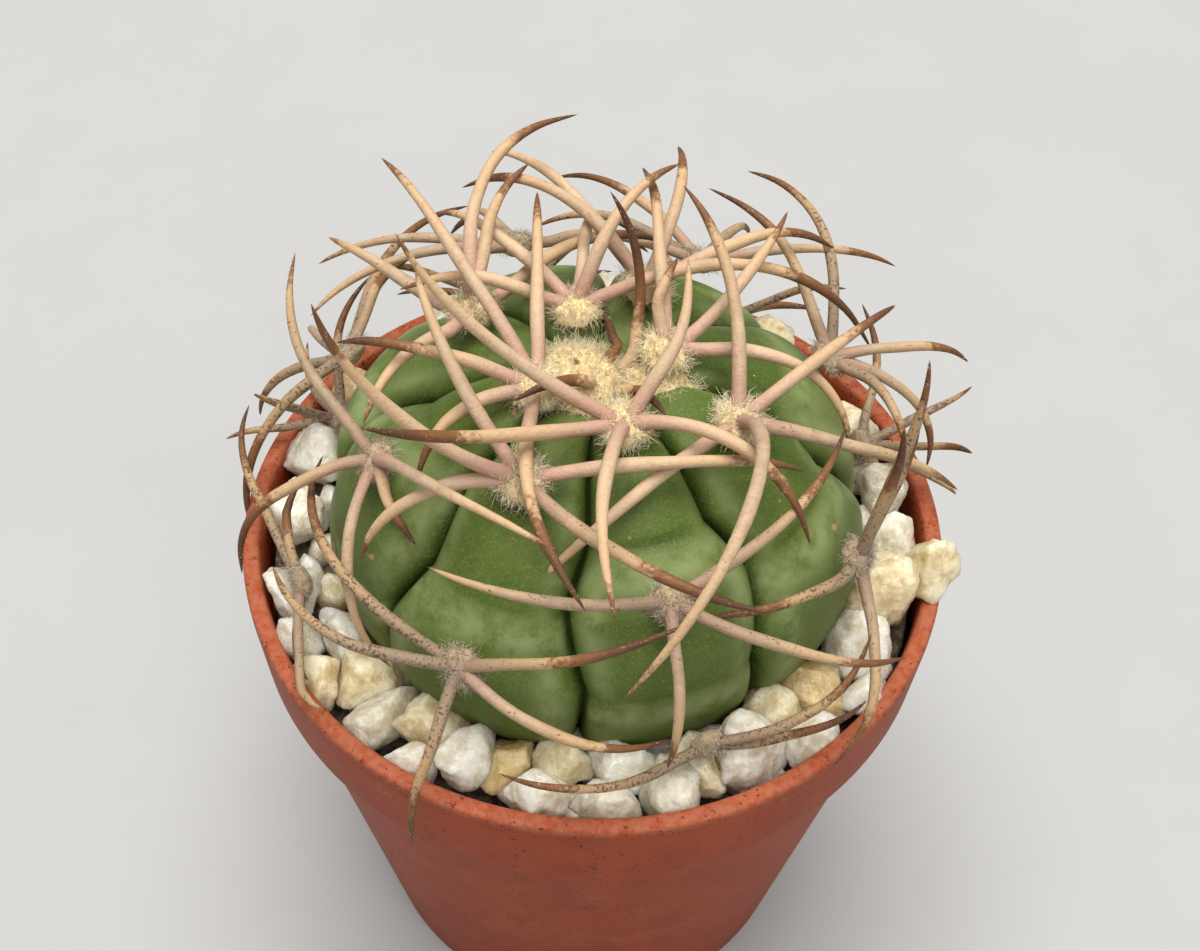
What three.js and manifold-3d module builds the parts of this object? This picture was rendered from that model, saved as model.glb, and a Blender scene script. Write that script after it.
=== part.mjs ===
// A chin cactus in a small round nursery pot, in millimetres, +Z up.
// The origin is the middle of the pot's flat underside, and -Y is the front.
// Angles are in degrees. An azimuth is 0 at the front and grows towards +X.
import * as THREE from "three";
import { mergeVertices } from "three/addons/utils/BufferGeometryUtils.js";
import Module from "manifold-3d";

const wasm = await Module();
wasm.setup();

// ---- Driving dimensions ----
const GAP = 0.3; // free gap kept between pieces that touch

const POT_HEIGHT = 55;
const POT_RIM_RADIUS = 32.5;
const POT_LIP_WIDTH = 1.5;
const POT_LIP_HEIGHT = 1.2;
const POT_BAND_HEIGHT = 8.8;
const POT_BAND_TAPER = 0.5;
const POT_BAND_STEP = 1.3;
const POT_WALL = 1.2;
const POT_BASE_RADIUS = 23;
const POT_FLOOR = 1.6;
const POT_BASE_CHAMFER = 0.8;
const POT_EDGE = 0.4; // rounding of the lip's and the band's edges
const POT_SEGMENTS = 48;
const DRAIN_HOLES = 6;
const DRAIN_RADIUS = 2.4;
const DRAIN_RING = 15;
const DRAIN_SEGMENTS = 12;

const SOIL_TOP = 47;
const SOIL_BOWL_EDGE = 2.8; // how much wider the bowl for the plant is at the top of the soil
const GRAVEL_FRONT = 51.5; // top of the packed gravel at the front
const GRAVEL_RISE = 2.5; // how much higher it is heaped at the back

const BODY_RADIUS = 24.1;
const BODY_CENTRE = new THREE.Vector3(0, -0.5, 59);
const BODY_TOP = 17.2; // from the widest level up to the crown
const BODY_BOTTOM = 17.4; // from the widest level down to the root neck
const NECK_DROP = 3;
const GROOVE_DEPTH = 0.12; // of the radius, at the grooves between ribs
const CHIN_SWELL = 0.055; // of the radius, at the middle of a lobe
const CROWN_DIP = 0.23; // of BODY_TOP, in the middle of the crown
const CROWN_DIP_ANGLE = 11;
const RIB_POWER = 2.5; // a larger power gives a rib a flatter face with steeper sides
const GROOVE_FADE = [3, 22]; // polar angles over which the grooves reach their depth
const NECK_FADE = [118, 150]; // polar angles over which grooves and chins die away
const BODY_COLUMNS = 96;
const BODY_ROWS = 30;

const PAD_RADIUS = 1.8;
const PAD_THICKNESS = 1.5;
const SPINE_RADIUS = { top: 0.75, middle: 0.62, low: 0.56 }; // at the foot, on each tier
const SPINE_TAPER = 0.35; // of its radius, lost evenly from foot to tip
const SPINE_BLUNTNESS = 5; // a larger power keeps a spine thick for longer
const SPINE_SIDES = 4;
const SPINE_STEPS = 6;
const WOOL_RADIUS = 5.8;
const WOOL_THICKNESS = 2.6;

const STONE_BULGE = [0.93, 1.13]; // how far a stone's corners lie out, as shares of its half size

const COLOURS = {
  pot: 0xb4593a,
  soil: 0x3c2f26,
  gravelBed: 0x8d7f6a,
  stone: 0xd8d0bd,
  body: 0x5d7a45,
  wool: 0xd9c48e,
  spine: 0xc9a288,
};

// ---- The plan of ribs, areoles and spines ----
// Each rib has its azimuth and its areoles, with their polar angles from the crown (0) down.
// An areole that leans sits that many degrees beside the crest of its rib.
// A spine is [clock, rise, length, bend, sweep]. Clock is its first direction round the areole: 0
// points to the crown, 90 to the right and 180 down. Rise is how steeply it leaves the skin, bend
// is how far it curves back to it, and sweep is how far it curves on clockwise.
const HIDDEN_SPINES = [
  [60, 32, 16, 45, 0],
  [95, 38, 13, 35, 0],
  [265, 38, 13, 35, 0],
  [300, 32, 16, 45, 0],
];
const RIBS = [
  { azimuth: -24, areoles: [
    { tier: "top", polar: 31, spines: [
      [255, 38, 25, -25, 40],
      [300, 30, 21, 30, 15],
      [250, 32, 17, 75, -45],
      [117, 22, 24, 25, -30],
      [60, 15, 25, 60, 0],
    ] },
    { tier: "middle", polar: 72, spines: [
      [275, 45, 20, 80, 0],
      [295, 20, 26, 80, 0],
      [58, 22, 21, 40, 0],
      [98, 35, 20, 85, -5],
      [180, 38, 17, 40, 0],
    ] },
  ] },
  { azimuth: 17, areoles: [
    { tier: "top", polar: 18, spines: [
      [264, 20, 26, -10, 0],
      [214, 34, 23, 45, -25],
      [115, 40, 20, 80, 40],
      [60, 45, 15, 20, -35],
      [295, 30, 26, -10, 15],
    ] },
    { tier: "middle", polar: 53, spines: [
      [277, 20, 20, 40, 20],
      [190, 30, 15, 70, 0],
      [72, 15, 22, 40, -20],
      [130, 28, 21, 40, -25],
    ] },
    { tier: "low", lean: 4, polar: 96, spines: [
      [84, 24, 15, 30, 0],
      [65, 25, 18, 55, 0],
      [270, 25, 19, 45, 0],
    ] },
  ] },
  { azimuth: 64, areoles: [
    { tier: "top", polar: 29, spines: [
      [248, 62, 34, 125, 25],
      [288, 18, 23, 60, 0],
      [155, 14, 22, 25, 0],
      [52, 32, 21, 20, -20],
      [108, 25, 20, 20, 0],
    ] },
    { tier: "middle", lean: -2, polar: 71, spines: [
      [292, 20, 17, 85, 0],
      [222, 25, 18, 55, 10],
      [20, 32, 22, 5, 0],
      [8, 34, 17, 5, 0],
      [32, 30, 16, 5, 0],
    ] },
  ] },
  { azimuth: 110, areoles: [
    { tier: "top", lean: -12, polar: 14, spines: [
      [150, 36, 18, 10, -20],
      [178, 40, 21, 85, 40],
      [88, 48, 20, 50, 0],
      [60, 55, 9, 10, 60],
    ] },
    { tier: "middle", polar: 55, spines: [
      [205, 40, 17, 80, 0],
      [80, 50, 23, 70, 0],
      [60, 30, 20, 40, 0],
      [190, 62, 15, 45, 0],
      [265, 35, 14, 50, 0],
    ] },
    { tier: "low", polar: 96, spines: [
      [0, 72, 13, 20, 0],
      [90, 38, 15, 35, 0],
      [275, 45, 12, 30, 0],
      [310, 40, 14, 40, 0],
    ] },
  ] },
  { azimuth: 155, areoles: [
    { tier: "top", polar: 21, spines: [
      [172, 42, 20, 40, -15],
      [95, 50, 22, 75, 0],
      [112, 32, 23, 35, 0],
      [220, 40, 20, 55, 0],
    ] },
    { tier: "middle", polar: 55, spines: [
      [232, 32, 22, 20, 0],
      [105, 35, 20, 40, 0],
      [90, 18, 18, 40, 0],
      [62, 12, 13, 40, 0],
      [180, 40, 16, 35, 0],
    ] },
    { tier: "low", polar: 94, spines: HIDDEN_SPINES },
  ] },
  { azimuth: 200, areoles: [
    { tier: "top", polar: 15, spines: [
      [280, 40, 31, 85, 0],
      [205, 40, 16, 40, 0],
      [110, 35, 16, 40, 0],
      [150, 42, 18, 50, 0],
      [245, 45, 17, 60, 0],
    ] },
    { tier: "middle", polar: 51, spines: [
      [118, 24, 22, 25, 0],
      [88, 20, 22, 40, 0],
      [160, 38, 11, 10, 0],
      [245, 26, 16, 45, 0],
      [150, 50, 12, 60, 0],
    ] },
    { tier: "low", polar: 92, spines: HIDDEN_SPINES },
  ] },
  { azimuth: 248, areoles: [
    { tier: "top", polar: 27, spines: [
      [100, 32, 15, 45, 0],
      [192, 35, 17, 20, 0],
      [300, 20, 25, 45, 0],
      [280, 32, 16, 25, 10],
      [265, 50, 24, 60, 42],
    ] },
    { tier: "middle", polar: 68, spines: [
      [170, 45, 15, 50, 0],
      [138, 32, 22, 75, 0],
      [270, 24, 25, 40, 0],
      [283, 22, 14, 25, 0],
      [215, 40, 14, 30, 0],
    ] },
    { tier: "low", polar: 96, spines: [
      [48, 38, 12, 30, 0],
      [110, 42, 12, 30, 0],
      [265, 38, 12, 35, 0],
      [300, 32, 15, 45, 0],
    ] },
  ] },
  { azimuth: 292, areoles: [
    { tier: "top", lean: 14, polar: 15, spines: [
      [135, 25, 23, 40, -35],
      [225, 38, 18, 35, 0],
      [205, 30, 14, 60, -50],
      [305, 28, 20, 30, 0],
      [274, 38, 28, 40, 0],
    ] },
    { tier: "middle", polar: 48, spines: [
      [262, 38, 20, 20, 35],
      [188, 40, 18, 80, -15],
      [134, 22, 20, 85, 0],
      [95, 12, 9, 40, 0],
      [60, 16, 24, 55, 0],
    ] },
    { tier: "low", lean: -3, polar: 90, spines: [
      [145, 32, 17, 45, -55],
      [120, 35, 12, 40, 0],
      [275, 30, 20, 40, 0],
      [285, 35, 9, 80, 0],
    ] },
  ] },
];
// The woolly middle of the crown, with the youngest spines.
const CROWN = { azimuth: 70, polar: 4, spines: [
  [145, 20, 18, -25, -95],
  [60, 60, 7, 10, 0],
  [300, 45, 12, 40, 0],
  [215, 50, 10, 30, 0],
] };

// ---- The plan of the loose top stones ----
// Azimuth, distance from the pot's axis, height of the top, length along the rim, and width.
const STONES = [
  [-72, 28.9, 56.5, 6.4, 4.4],
  [-62, 29.2, 56, 5, 3.8],
  [-53, 29.2, 55.6, 5.4, 3.2],
  [-49, 26, 56, 6.4, 5.4],
  [-58, 25.2, 56.6, 4.6, 4.6],
  [-40, 26.9, 55.4, 4.2, 7.8],
  [-31, 25.8, 57, 6.6, 6],
  [-29, 29.5, 56, 5, 3],
  [-22, 27, 56.4, 4, 6.8],
  [-15, 26.4, 55.2, 5, 5.8],
  [-8, 28.8, 56.2, 6, 3.8],
  [-5, 25, 55, 5.6, 4.2],
  [4, 29.1, 55.4, 5.8, 3.2],
  [7, 25.2, 55.2, 6.6, 4.8],
  [14, 28.4, 56.8, 5.2, 5.2],
  [21, 26.4, 56, 4.8, 6.6],
  [30, 27, 56.6, 6.8, 6.6],
  [41, 29, 55.8, 5.4, 4],
  [40, 24.8, 56, 4.8, 4.4],
  [49, 26.4, 56.4, 4.8, 5.8],
  [54, 29.6, 56.2, 4.6, 3],
  [62, 27, 57.6, 5, 6],
  [73, 27.4, 60, 6.6, 6],
  [81, 31.2, 59.4, 4.8, 4.4],
  [87, 27.4, 58, 4.8, 5.2],
  [101, 27.8, 57, 5.4, 5],
  [116, 27.8, 57.4, 5.6, 5.2],
  [-90, 27.6, 56.4, 7.4, 5.4],
  [-105, 27.8, 58, 6.2, 5.4],
  [-120, 27.8, 58.6, 5.4, 5.4],
  [-148, 27.8, 59.6, 6, 5.4],
  [144, 27.8, 59.6, 6.6, 5.6],
  [178, 28.2, 58.4, 6.2, 5],
];

// ---- Small helpers ----
const rad = THREE.MathUtils.degToRad;
const deg = THREE.MathUtils.radToDeg;
const clamp = THREE.MathUtils.clamp;
const smoothstep = THREE.MathUtils.smoothstep;
const root = new THREE.Group();

function solidOf(geometry) {
  const bare = geometry.clone();
  bare.deleteAttribute("normal");
  bare.deleteAttribute("uv");
  const merged = mergeVertices(bare, 1e-4);
  const mesh = new wasm.Mesh({
    numProp: 3,
    vertProperties: merged.attributes.position.array,
    triVerts: new Uint32Array(merged.index.array),
  });
  return new wasm.Manifold(mesh);
}

function geometryOf(solid) {
  const mesh = solid.getMesh();
  const geometry = new THREE.BufferGeometry();
  geometry.setAttribute("position", new THREE.BufferAttribute(mesh.vertProperties, 3));
  geometry.setIndex(new THREE.BufferAttribute(mesh.triVerts, 1));
  return geometry;
}

function place(name, solid, colour, roughness) {
  const material = new THREE.MeshStandardMaterial({ color: colour, roughness, metalness: 0 });
  const mesh = new THREE.Mesh(geometryOf(solid), material);
  mesh.geometry.computeVertexNormals();
  mesh.name = name;
  root.add(mesh);
}

// A solid turned round the Z axis from a profile of [radius, height] pairs.
function latheGeometry(profile, segments) {
  const points = profile.map(([radius, height]) => new THREE.Vector2(radius, height));
  return new THREE.LatheGeometry(points, segments).rotateX(Math.PI / 2);
}

// A repeatable random number between 0 and 1 for each whole-number seed.
function chance(seed) {
  const wave = Math.sin(seed * 127.1 + 311.7) * 43758.5453;
  return wave - Math.floor(wave);
}

// The level direction in which an azimuth points.
function levelDirection(azimuth) {
  return new THREE.Vector3(Math.sin(rad(azimuth)), -Math.cos(rad(azimuth)), 0);
}

// ---- The cactus body: ribs, grooves and chins ----
const FIRST_LOBE_START = 8;
const LOBE_START_SHARE = 0.28; // how far above its areole a lobe begins, of the step between areoles
const LOWEST_LOBE_LENGTH = 46;
const FULL_CHIN_LENGTH = 30; // a shorter lobe swells less

function wrap(angle) {
  return ((((angle + 180) % 360) + 360) % 360) - 180;
}

// The rib under an azimuth, and how far across it the azimuth is: 0 on its crest, 1 in a groove.
function acrossRib(azimuth) {
  const offsets = RIBS.map((rib) => wrap(azimuth - rib.azimuth));
  const sizes = offsets.map(Math.abs);
  const nearest = sizes.indexOf(Math.min(...sizes));
  const side = offsets[nearest] < 0 ? RIBS.length - 1 : 1;
  const neighbour = RIBS[(nearest + side) % RIBS.length];
  const halfWidth = Math.abs(wrap(neighbour.azimuth - RIBS[nearest].azimuth)) / 2;
  return { rib: RIBS[nearest], share: Math.min(1, sizes[nearest] / halfWidth) };
}

// The polar angles at which the lobes of a rib begin, and the end of the lowest.
RIBS.forEach((rib) => {
  rib.lobes = rib.areoles.map(({ polar }, i) => {
    if (i === 0) {
      return Math.min(FIRST_LOBE_START, polar - 6);
    }
    return polar - LOBE_START_SHARE * (polar - rib.areoles[i - 1].polar);
  });
  rib.lobes.push(rib.lobes.at(-1) + LOWEST_LOBE_LENGTH);
});

function chinSwell(rib, polar) {
  const lobe = rib.lobes.findLastIndex((start) => polar >= start);
  if (lobe < 0 || lobe === rib.lobes.length - 1) {
    return 0;
  }
  const length = rib.lobes[lobe + 1] - rib.lobes[lobe];
  const along = (polar - rib.lobes[lobe]) / length;
  return Math.sin(Math.PI * along ** 0.75) * Math.min(1, length / FULL_CHIN_LENGTH);
}

// How far the skin stands out in a direction, as a share of the smooth globe under it.
function skinShare(azimuth, polar) {
  const { rib, share } = acrossRib(azimuth);
  const roundness = Math.sqrt(1 - share ** RIB_POWER);
  const belowCrown = smoothstep(polar, ...GROOVE_FADE);
  const aboveNeck = 1 - smoothstep(polar, ...NECK_FADE);
  const groove = GROOVE_DEPTH * (1 - roundness) * belowCrown * aboveNeck;
  const chin = CHIN_SWELL * chinSwell(rib, polar) * Math.min(1, roundness * 1.6) * aboveNeck;
  const dip = CROWN_DIP * Math.exp(-((polar / CROWN_DIP_ANGLE) ** 2));
  return 1 - groove + chin - dip;
}

// A point on the skin, or grow millimetres outside it.
function skinPoint(azimuth, polar, grow = 0) {
  const share = skinShare(azimuth, polar);
  const height = polar < 90 ? BODY_TOP : BODY_BOTTOM;
  const point = levelDirection(azimuth);
  point.multiplyScalar((BODY_RADIUS * share + grow) * Math.sin(rad(polar)));
  point.z = (height * share + grow) * Math.cos(rad(polar)) - NECK_DROP * smoothstep(polar, 135, 180);
  return point.add(BODY_CENTRE);
}

// How far a point is outside the skin, roughly, along the line from the body's middle.
function outsideSkin(point) {
  const offset = point.clone().sub(BODY_CENTRE);
  const height = offset.z > 0 ? BODY_TOP : BODY_BOTTOM;
  const level = Math.hypot(offset.x, offset.y) / BODY_RADIUS;
  const polar = deg(Math.atan2(level, offset.z / height));
  const azimuth = deg(Math.atan2(offset.x, -offset.y));
  return offset.length() - skinPoint(azimuth, polar).distanceTo(BODY_CENTRE);
}

function bodySolid(grow = 0) {
  const geometry = new THREE.SphereGeometry(1, BODY_COLUMNS, BODY_ROWS);
  const positions = geometry.attributes.position;
  for (let i = 0; i < positions.count; i += 1) {
    const unit = new THREE.Vector3().fromBufferAttribute(positions, i);
    const polar = deg(Math.acos(clamp(unit.y, -1, 1)));
    const azimuth = deg(Math.atan2(unit.x, unit.z));
    const point = skinPoint(azimuth, polar, grow);
    positions.setXYZ(i, point.x, point.y, point.z);
  }
  return solidOf(geometry);
}

// ---- The pot ----
const bandFoot = POT_HEIGHT - POT_BAND_HEIGHT;
const bandRadius = POT_RIM_RADIUS - POT_BAND_TAPER;
const wallTopRadius = bandRadius - POT_BAND_STEP;
const lipInnerRadius = POT_RIM_RADIUS - POT_LIP_WIDTH;
const mouthRadius = lipInnerRadius - 0.3;

// The inside of the tapering wall below the band.
function innerRadius(height) {
  return THREE.MathUtils.mapLinear(height, 0, bandFoot, POT_BASE_RADIUS, wallTopRadius) - POT_WALL;
}

function potSolid() {
  const profile = [
    [0, 0],
    [POT_BASE_RADIUS - POT_BASE_CHAMFER, 0],
    [POT_BASE_RADIUS, POT_BASE_CHAMFER],
    [wallTopRadius, bandFoot],
    [bandRadius - POT_EDGE, bandFoot],
    [bandRadius, bandFoot + POT_EDGE],
    [POT_RIM_RADIUS, POT_HEIGHT - POT_LIP_HEIGHT],
    [POT_RIM_RADIUS, POT_HEIGHT - POT_EDGE],
    [POT_RIM_RADIUS - POT_EDGE, POT_HEIGHT],
    [lipInnerRadius + POT_EDGE, POT_HEIGHT],
    [lipInnerRadius, POT_HEIGHT - POT_EDGE],
    [mouthRadius, POT_HEIGHT - POT_LIP_HEIGHT],
    [mouthRadius, bandFoot + 0.8],
    [innerRadius(bandFoot - 0.6), bandFoot - 0.6],
    [innerRadius(POT_FLOOR + 1), POT_FLOOR + 1],
    [innerRadius(POT_FLOOR) - 1, POT_FLOOR],
    [0, POT_FLOOR],
  ];
  let pot = solidOf(latheGeometry(profile, POT_SEGMENTS));
  for (let i = 0; i < DRAIN_HOLES; i += 1) {
    const drill = new THREE.CylinderGeometry(DRAIN_RADIUS, DRAIN_RADIUS, 3 * POT_FLOOR, DRAIN_SEGMENTS);
    drill.rotateX(Math.PI / 2);
    const middle = levelDirection((360 / DRAIN_HOLES) * i).multiplyScalar(DRAIN_RING);
    drill.translate(middle.x, middle.y, 0);
    pot = pot.subtract(solidOf(drill));
  }
  return pot;
}

// ---- Soil and packed gravel ----
function gravelTop(azimuth) {
  return GRAVEL_FRONT + (GRAVEL_RISE * (1 - Math.cos(rad(azimuth)))) / 2;
}

// The soil fills the pot, with a round bowl on top in which the plant's base sits.
function soilSolid() {
  const shoulder = bandFoot - 0.9;
  const bowl = [];
  for (let polar = 100; polar < 180; polar += 10) {
    const reach = Math.max(...RIBS.map(({ azimuth }) => skinShare(azimuth, polar)));
    const height = skinPoint(RIBS[0].azimuth, polar).z - GAP;
    if (height < SOIL_TOP) {
      bowl.push([(BODY_RADIUS * reach + 2 * GAP) * Math.sin(rad(polar)), height - 2 * GAP]);
    }
  }
  const profile = [
    [0, POT_FLOOR + GAP],
    [innerRadius(POT_FLOOR) - 1 - GAP, POT_FLOOR + GAP],
    [innerRadius(POT_FLOOR + 1) - GAP, POT_FLOOR + 1 + GAP],
    [innerRadius(shoulder) - GAP, shoulder],
    [innerRadius(shoulder) - GAP, SOIL_TOP],
    [bowl[0][0] + SOIL_BOWL_EDGE, SOIL_TOP],
    ...bowl,
    [0, skinPoint(0, 180).z - 2 * GAP],
  ];
  return solidOf(latheGeometry(profile, 32));
}

// The ring of packed gravel. Its grow makes it larger, to trim what lies on top of it.
function gravelBedSolid(grow = 0) {
  const radius = mouthRadius - GAP + grow;
  const bottom = SOIL_TOP + GAP;
  const geometry = new THREE.CylinderGeometry(radius, radius, 1, POT_SEGMENTS).rotateX(Math.PI / 2);
  const positions = geometry.attributes.position;
  for (let i = 0; i < positions.count; i += 1) {
    const x = positions.getX(i);
    const y = positions.getY(i);
    const isMiddle = Math.hypot(x, y) < 1;
    const top = isMiddle ? GRAVEL_FRONT + GRAVEL_RISE / 2 : gravelTop(deg(Math.atan2(x, -y)));
    positions.setZ(i, positions.getZ(i) > 0 ? top + grow : bottom);
  }
  return solidOf(geometry);
}

// ---- Loose top stones ----
const stones = STONES.map(([azimuth, distance, top, length, width], i) => {
  const outward = levelDirection(azimuth);
  const thickness = top - gravelTop(azimuth) + 2;
  return {
    name: `stone_${String(i + 1).padStart(2, "0")}`,
    centre: outward.clone().multiplyScalar(distance).setZ(top - thickness / 2),
    axes: [levelDirection(azimuth + 90), outward, new THREE.Vector3(0, 0, 1)],
    half: [length / 2, width / 2, thickness / 2],
    seed: i + 1,
  };
});

// A rough crystal-edged pebble: a ball of eighty faces with each corner moved a little.
function stoneSolid(stone) {
  const geometry = new THREE.IcosahedronGeometry(1, 1);
  const positions = geometry.attributes.position;
  for (let i = 0; i < positions.count; i += 1) {
    const unit = new THREE.Vector3().fromBufferAttribute(positions, i);
    const key = Math.round(unit.x * 90) + Math.round(unit.y * 57) * 3 + Math.round(unit.z * 33) * 7;
    const bulge = THREE.MathUtils.lerp(...STONE_BULGE, chance(key + stone.seed * 13));
    const point = stone.centre.clone();
    unit.toArray().forEach((amount, axis) => {
      point.addScaledVector(stone.axes[axis], -amount * stone.half[axis] * bulge);
    });
    positions.setXYZ(i, point.x, point.y, point.z);
  }
  return solidOf(geometry);
}

// How far a stone reaches from its middle in a direction.
function reachOf(stone, direction) {
  const unit = direction.clone().normalize();
  return Math.hypot(...stone.axes.map((axis, i) => unit.dot(axis) * stone.half[i]));
}

// Two stones that lie side by side keep to their own side of a flat face between them.
function trimBetween(solid, stone, other) {
  const towards = other.centre.clone().sub(stone.centre);
  const distance = towards.length();
  const reach = reachOf(stone, towards);
  const otherReach = reachOf(other, towards);
  if (distance > (reach + otherReach) * 1.12 + GAP) {
    return solid;
  }
  const face = (distance * reach) / (reach + otherReach) - GAP / 2;
  const box = new THREE.BoxGeometry(40, 40, 20).translate(0, 0, 10 + face);
  const turn = new THREE.Quaternion();
  turn.setFromUnitVectors(new THREE.Vector3(0, 0, 1), towards.normalize());
  box.applyQuaternion(turn);
  box.translate(stone.centre.x, stone.centre.y, stone.centre.z);
  return solid.subtract(solidOf(box));
}

// ---- Areoles ----
// Where an areole sits, with its own axes: up to the crown, to the right, and out of the globe.
// The pad lies on the skin itself, square to the slope of the skin across the pad's width.
function areoleFrame(azimuth, polar) {
  const centre = skinPoint(azimuth, polar);
  const right = levelDirection(azimuth + 90);
  const height = polar < 90 ? BODY_TOP : BODY_BOTTOM;
  const out = levelDirection(azimuth).multiplyScalar(Math.sin(rad(polar)) / BODY_RADIUS);
  out.z = Math.cos(rad(polar)) / height;
  out.normalize();
  const up = out.clone().cross(right);
  const tilt = deg(PAD_RADIUS / BODY_RADIUS);
  const turn = tilt / Math.sin(rad(polar));
  const down = skinPoint(azimuth, polar + tilt).sub(skinPoint(azimuth, polar - tilt));
  const across = skinPoint(azimuth + turn, polar).sub(skinPoint(azimuth - turn, polar));
  const normal = down.cross(across).normalize();
  return { centre, up, right, out, normal };
}

// The height at which a flat pad clears the skin all round.
function seatHeight(frame) {
  const side = frame.normal.clone().cross(frame.up).normalize();
  const ahead = side.clone().cross(frame.normal);
  let deepest = 0;
  for (let turn = 0; turn < 360; turn += 30) {
    const edge = frame.centre.clone();
    edge.addScaledVector(side, PAD_RADIUS * Math.cos(rad(turn)));
    edge.addScaledVector(ahead, PAD_RADIUS * Math.sin(rad(turn)));
    deepest = Math.min(deepest, outsideSkin(edge));
  }
  return 1.4 * GAP - deepest;
}

// A low dome with a flat underside.
function domeSolid(centre, normal, radius, thickness) {
  const profile = [
    [0, 0],
    [radius, 0],
    [radius * 0.85, thickness * 0.6],
    [radius * 0.45, thickness * 0.92],
    [0, thickness],
  ];
  const geometry = latheGeometry(profile, 10);
  const turn = new THREE.Quaternion().setFromUnitVectors(new THREE.Vector3(0, 0, 1), normal);
  geometry.applyQuaternion(turn);
  geometry.translate(centre.x, centre.y, centre.z);
  return solidOf(geometry);
}

// ---- Spines ----
// Half the thickness of an areole's spines, from their foot (0) to their tip (1).
function spineRadius({ tier }, share) {
  return SPINE_RADIUS[tier] * (1 - SPINE_TAPER * share) * Math.sqrt(1 - share ** SPINE_BLUNTNESS);
}

// The middle line of a spine, an arc that is kept clear of the skin below it.
function spineLine(own, [clock, rise, length, bend, sweep], lift, turn) {
  const { frame } = own;
  const stride = length / SPINE_STEPS;
  const along = new THREE.Vector3();
  const point = frame.foot.clone();
  const line = [point.clone()];
  for (let step = 1; step <= SPINE_STEPS; step += 1) {
    const share = (step - 0.5) / SPINE_STEPS;
    const aim = rad(clock + (clock < 180 ? -turn : turn) + sweep * share);
    const slope = rad(rise + lift - bend * share);
    along.copy(frame.up).multiplyScalar(Math.cos(aim)).addScaledVector(frame.right, Math.sin(aim));
    point.addScaledVector(along, Math.cos(slope) * stride);
    point.addScaledVector(frame.out, Math.sin(slope) * stride);
    line.push(point.clone());
  }
  line.slice(1).forEach((p, i) => {
    const room = outsideSkin(p) - spineRadius(own, (i + 1) / SPINE_STEPS) - 1.8 * GAP;
    if (room < 0) {
      p.addScaledVector(p.clone().sub(BODY_CENTRE).normalize(), -room);
    }
  });
  return line;
}

// The shortest distance between two straight pieces, a to b and c to d.
function segmentDistance(a, b, c, d) {
  const u = b.clone().sub(a);
  const v = d.clone().sub(c);
  const w = a.clone().sub(c);
  const uv = u.dot(v);
  const uw = u.dot(w);
  const vw = v.dot(w);
  const spread = u.lengthSq() * v.lengthSq() - uv * uv;
  let s = spread > 1e-9 ? clamp((uv * vw - v.lengthSq() * uw) / spread, 0, 1) : 0;
  let t = clamp((uv * s + vw) / v.lengthSq(), 0, 1);
  s = clamp((uv * t - uw) / u.lengthSq(), 0, 1);
  t = clamp((uv * s + vw) / v.lengthSq(), 0, 1);
  return w.addScaledVector(u, s).addScaledVector(v, -t).length();
}

// How deep a ball lies inside an ellipsoid.
function depthInside(point, ball, { centre, axes, half }) {
  const offset = point.clone().sub(centre);
  const share = Math.hypot(...axes.map((axis, i) => offset.dot(axis) / (half[i] + ball)));
  return share < 1 ? (1 - share) * Math.min(...half) : 0;
}

// How far a ball sinks into the pot's lip or the packed gravel.
function depthInPot(point, ball) {
  const distance = Math.hypot(point.x, point.y);
  const isOverLip = distance > mouthRadius - ball && distance < POT_RIM_RADIUS + ball;
  const floor = isOverLip ? POT_HEIGHT : gravelTop(deg(Math.atan2(point.x, -point.y)));
  const isOutside = distance >= POT_RIM_RADIUS + ball;
  return isOutside ? 0 : Math.max(0, floor + ball - point.z);
}

// How much a spine runs into the pot, the gravel, the stones, other pads and other spines.
function crowding(line, own, areoles) {
  let sum = 0;
  const others = areoles.filter((areole) => areole !== own);
  for (let step = 1; step <= SPINE_STEPS; step += 1) {
    const ball = spineRadius(own, (step - 1) / SPINE_STEPS) + GAP;
    const middle = line[step - 1].clone().lerp(line[step], 0.5);
    [middle, line[step]].forEach((point) => {
      sum += depthInPot(point, ball);
      stones.forEach((stone) => {
        sum += depthInside(point, ball, stone);
      });
      others.forEach((areole) => {
        sum += depthInside(point, ball, areole.pad);
      });
    });
    others.forEach((areole) => {
      areole.lines.forEach((other) => {
        for (let k = 1; k <= SPINE_STEPS; k += 1) {
          const near = segmentDistance(line[step - 1], line[step], other[k - 1], other[k]);
          sum += Math.max(0, ball + spineRadius(areole, (k - 1) / SPINE_STEPS) - near);
        }
      });
    });
  }
  return sum;
}

// A spine that would cross another piece is lifted or turned, by as little as clears it.
const LIFTS = [0, 3, -3, 6, -6, 9, -9, 12, -12, 16, 20, 25, 30];
const TURNS = [0, 5, -5, 10, -10, 16, 24, 32];
const CHANGES = LIFTS.flatMap((lift) => TURNS.map((turn) => ({ lift, turn })));
CHANGES.sort((a, b) => Math.abs(a.lift) + Math.abs(a.turn) - Math.abs(b.lift) - Math.abs(b.turn));

function settledLine(own, spine, areoles) {
  let best = null;
  let least = Infinity;
  for (const { lift, turn } of CHANGES) {
    const line = spineLine(own, spine, lift, turn);
    const crowded = crowding(line, own, areoles);
    if (crowded < least) {
      least = crowded;
      best = line;
    }
    if (crowded === 0) {
      break;
    }
  }
  return best;
}

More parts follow.
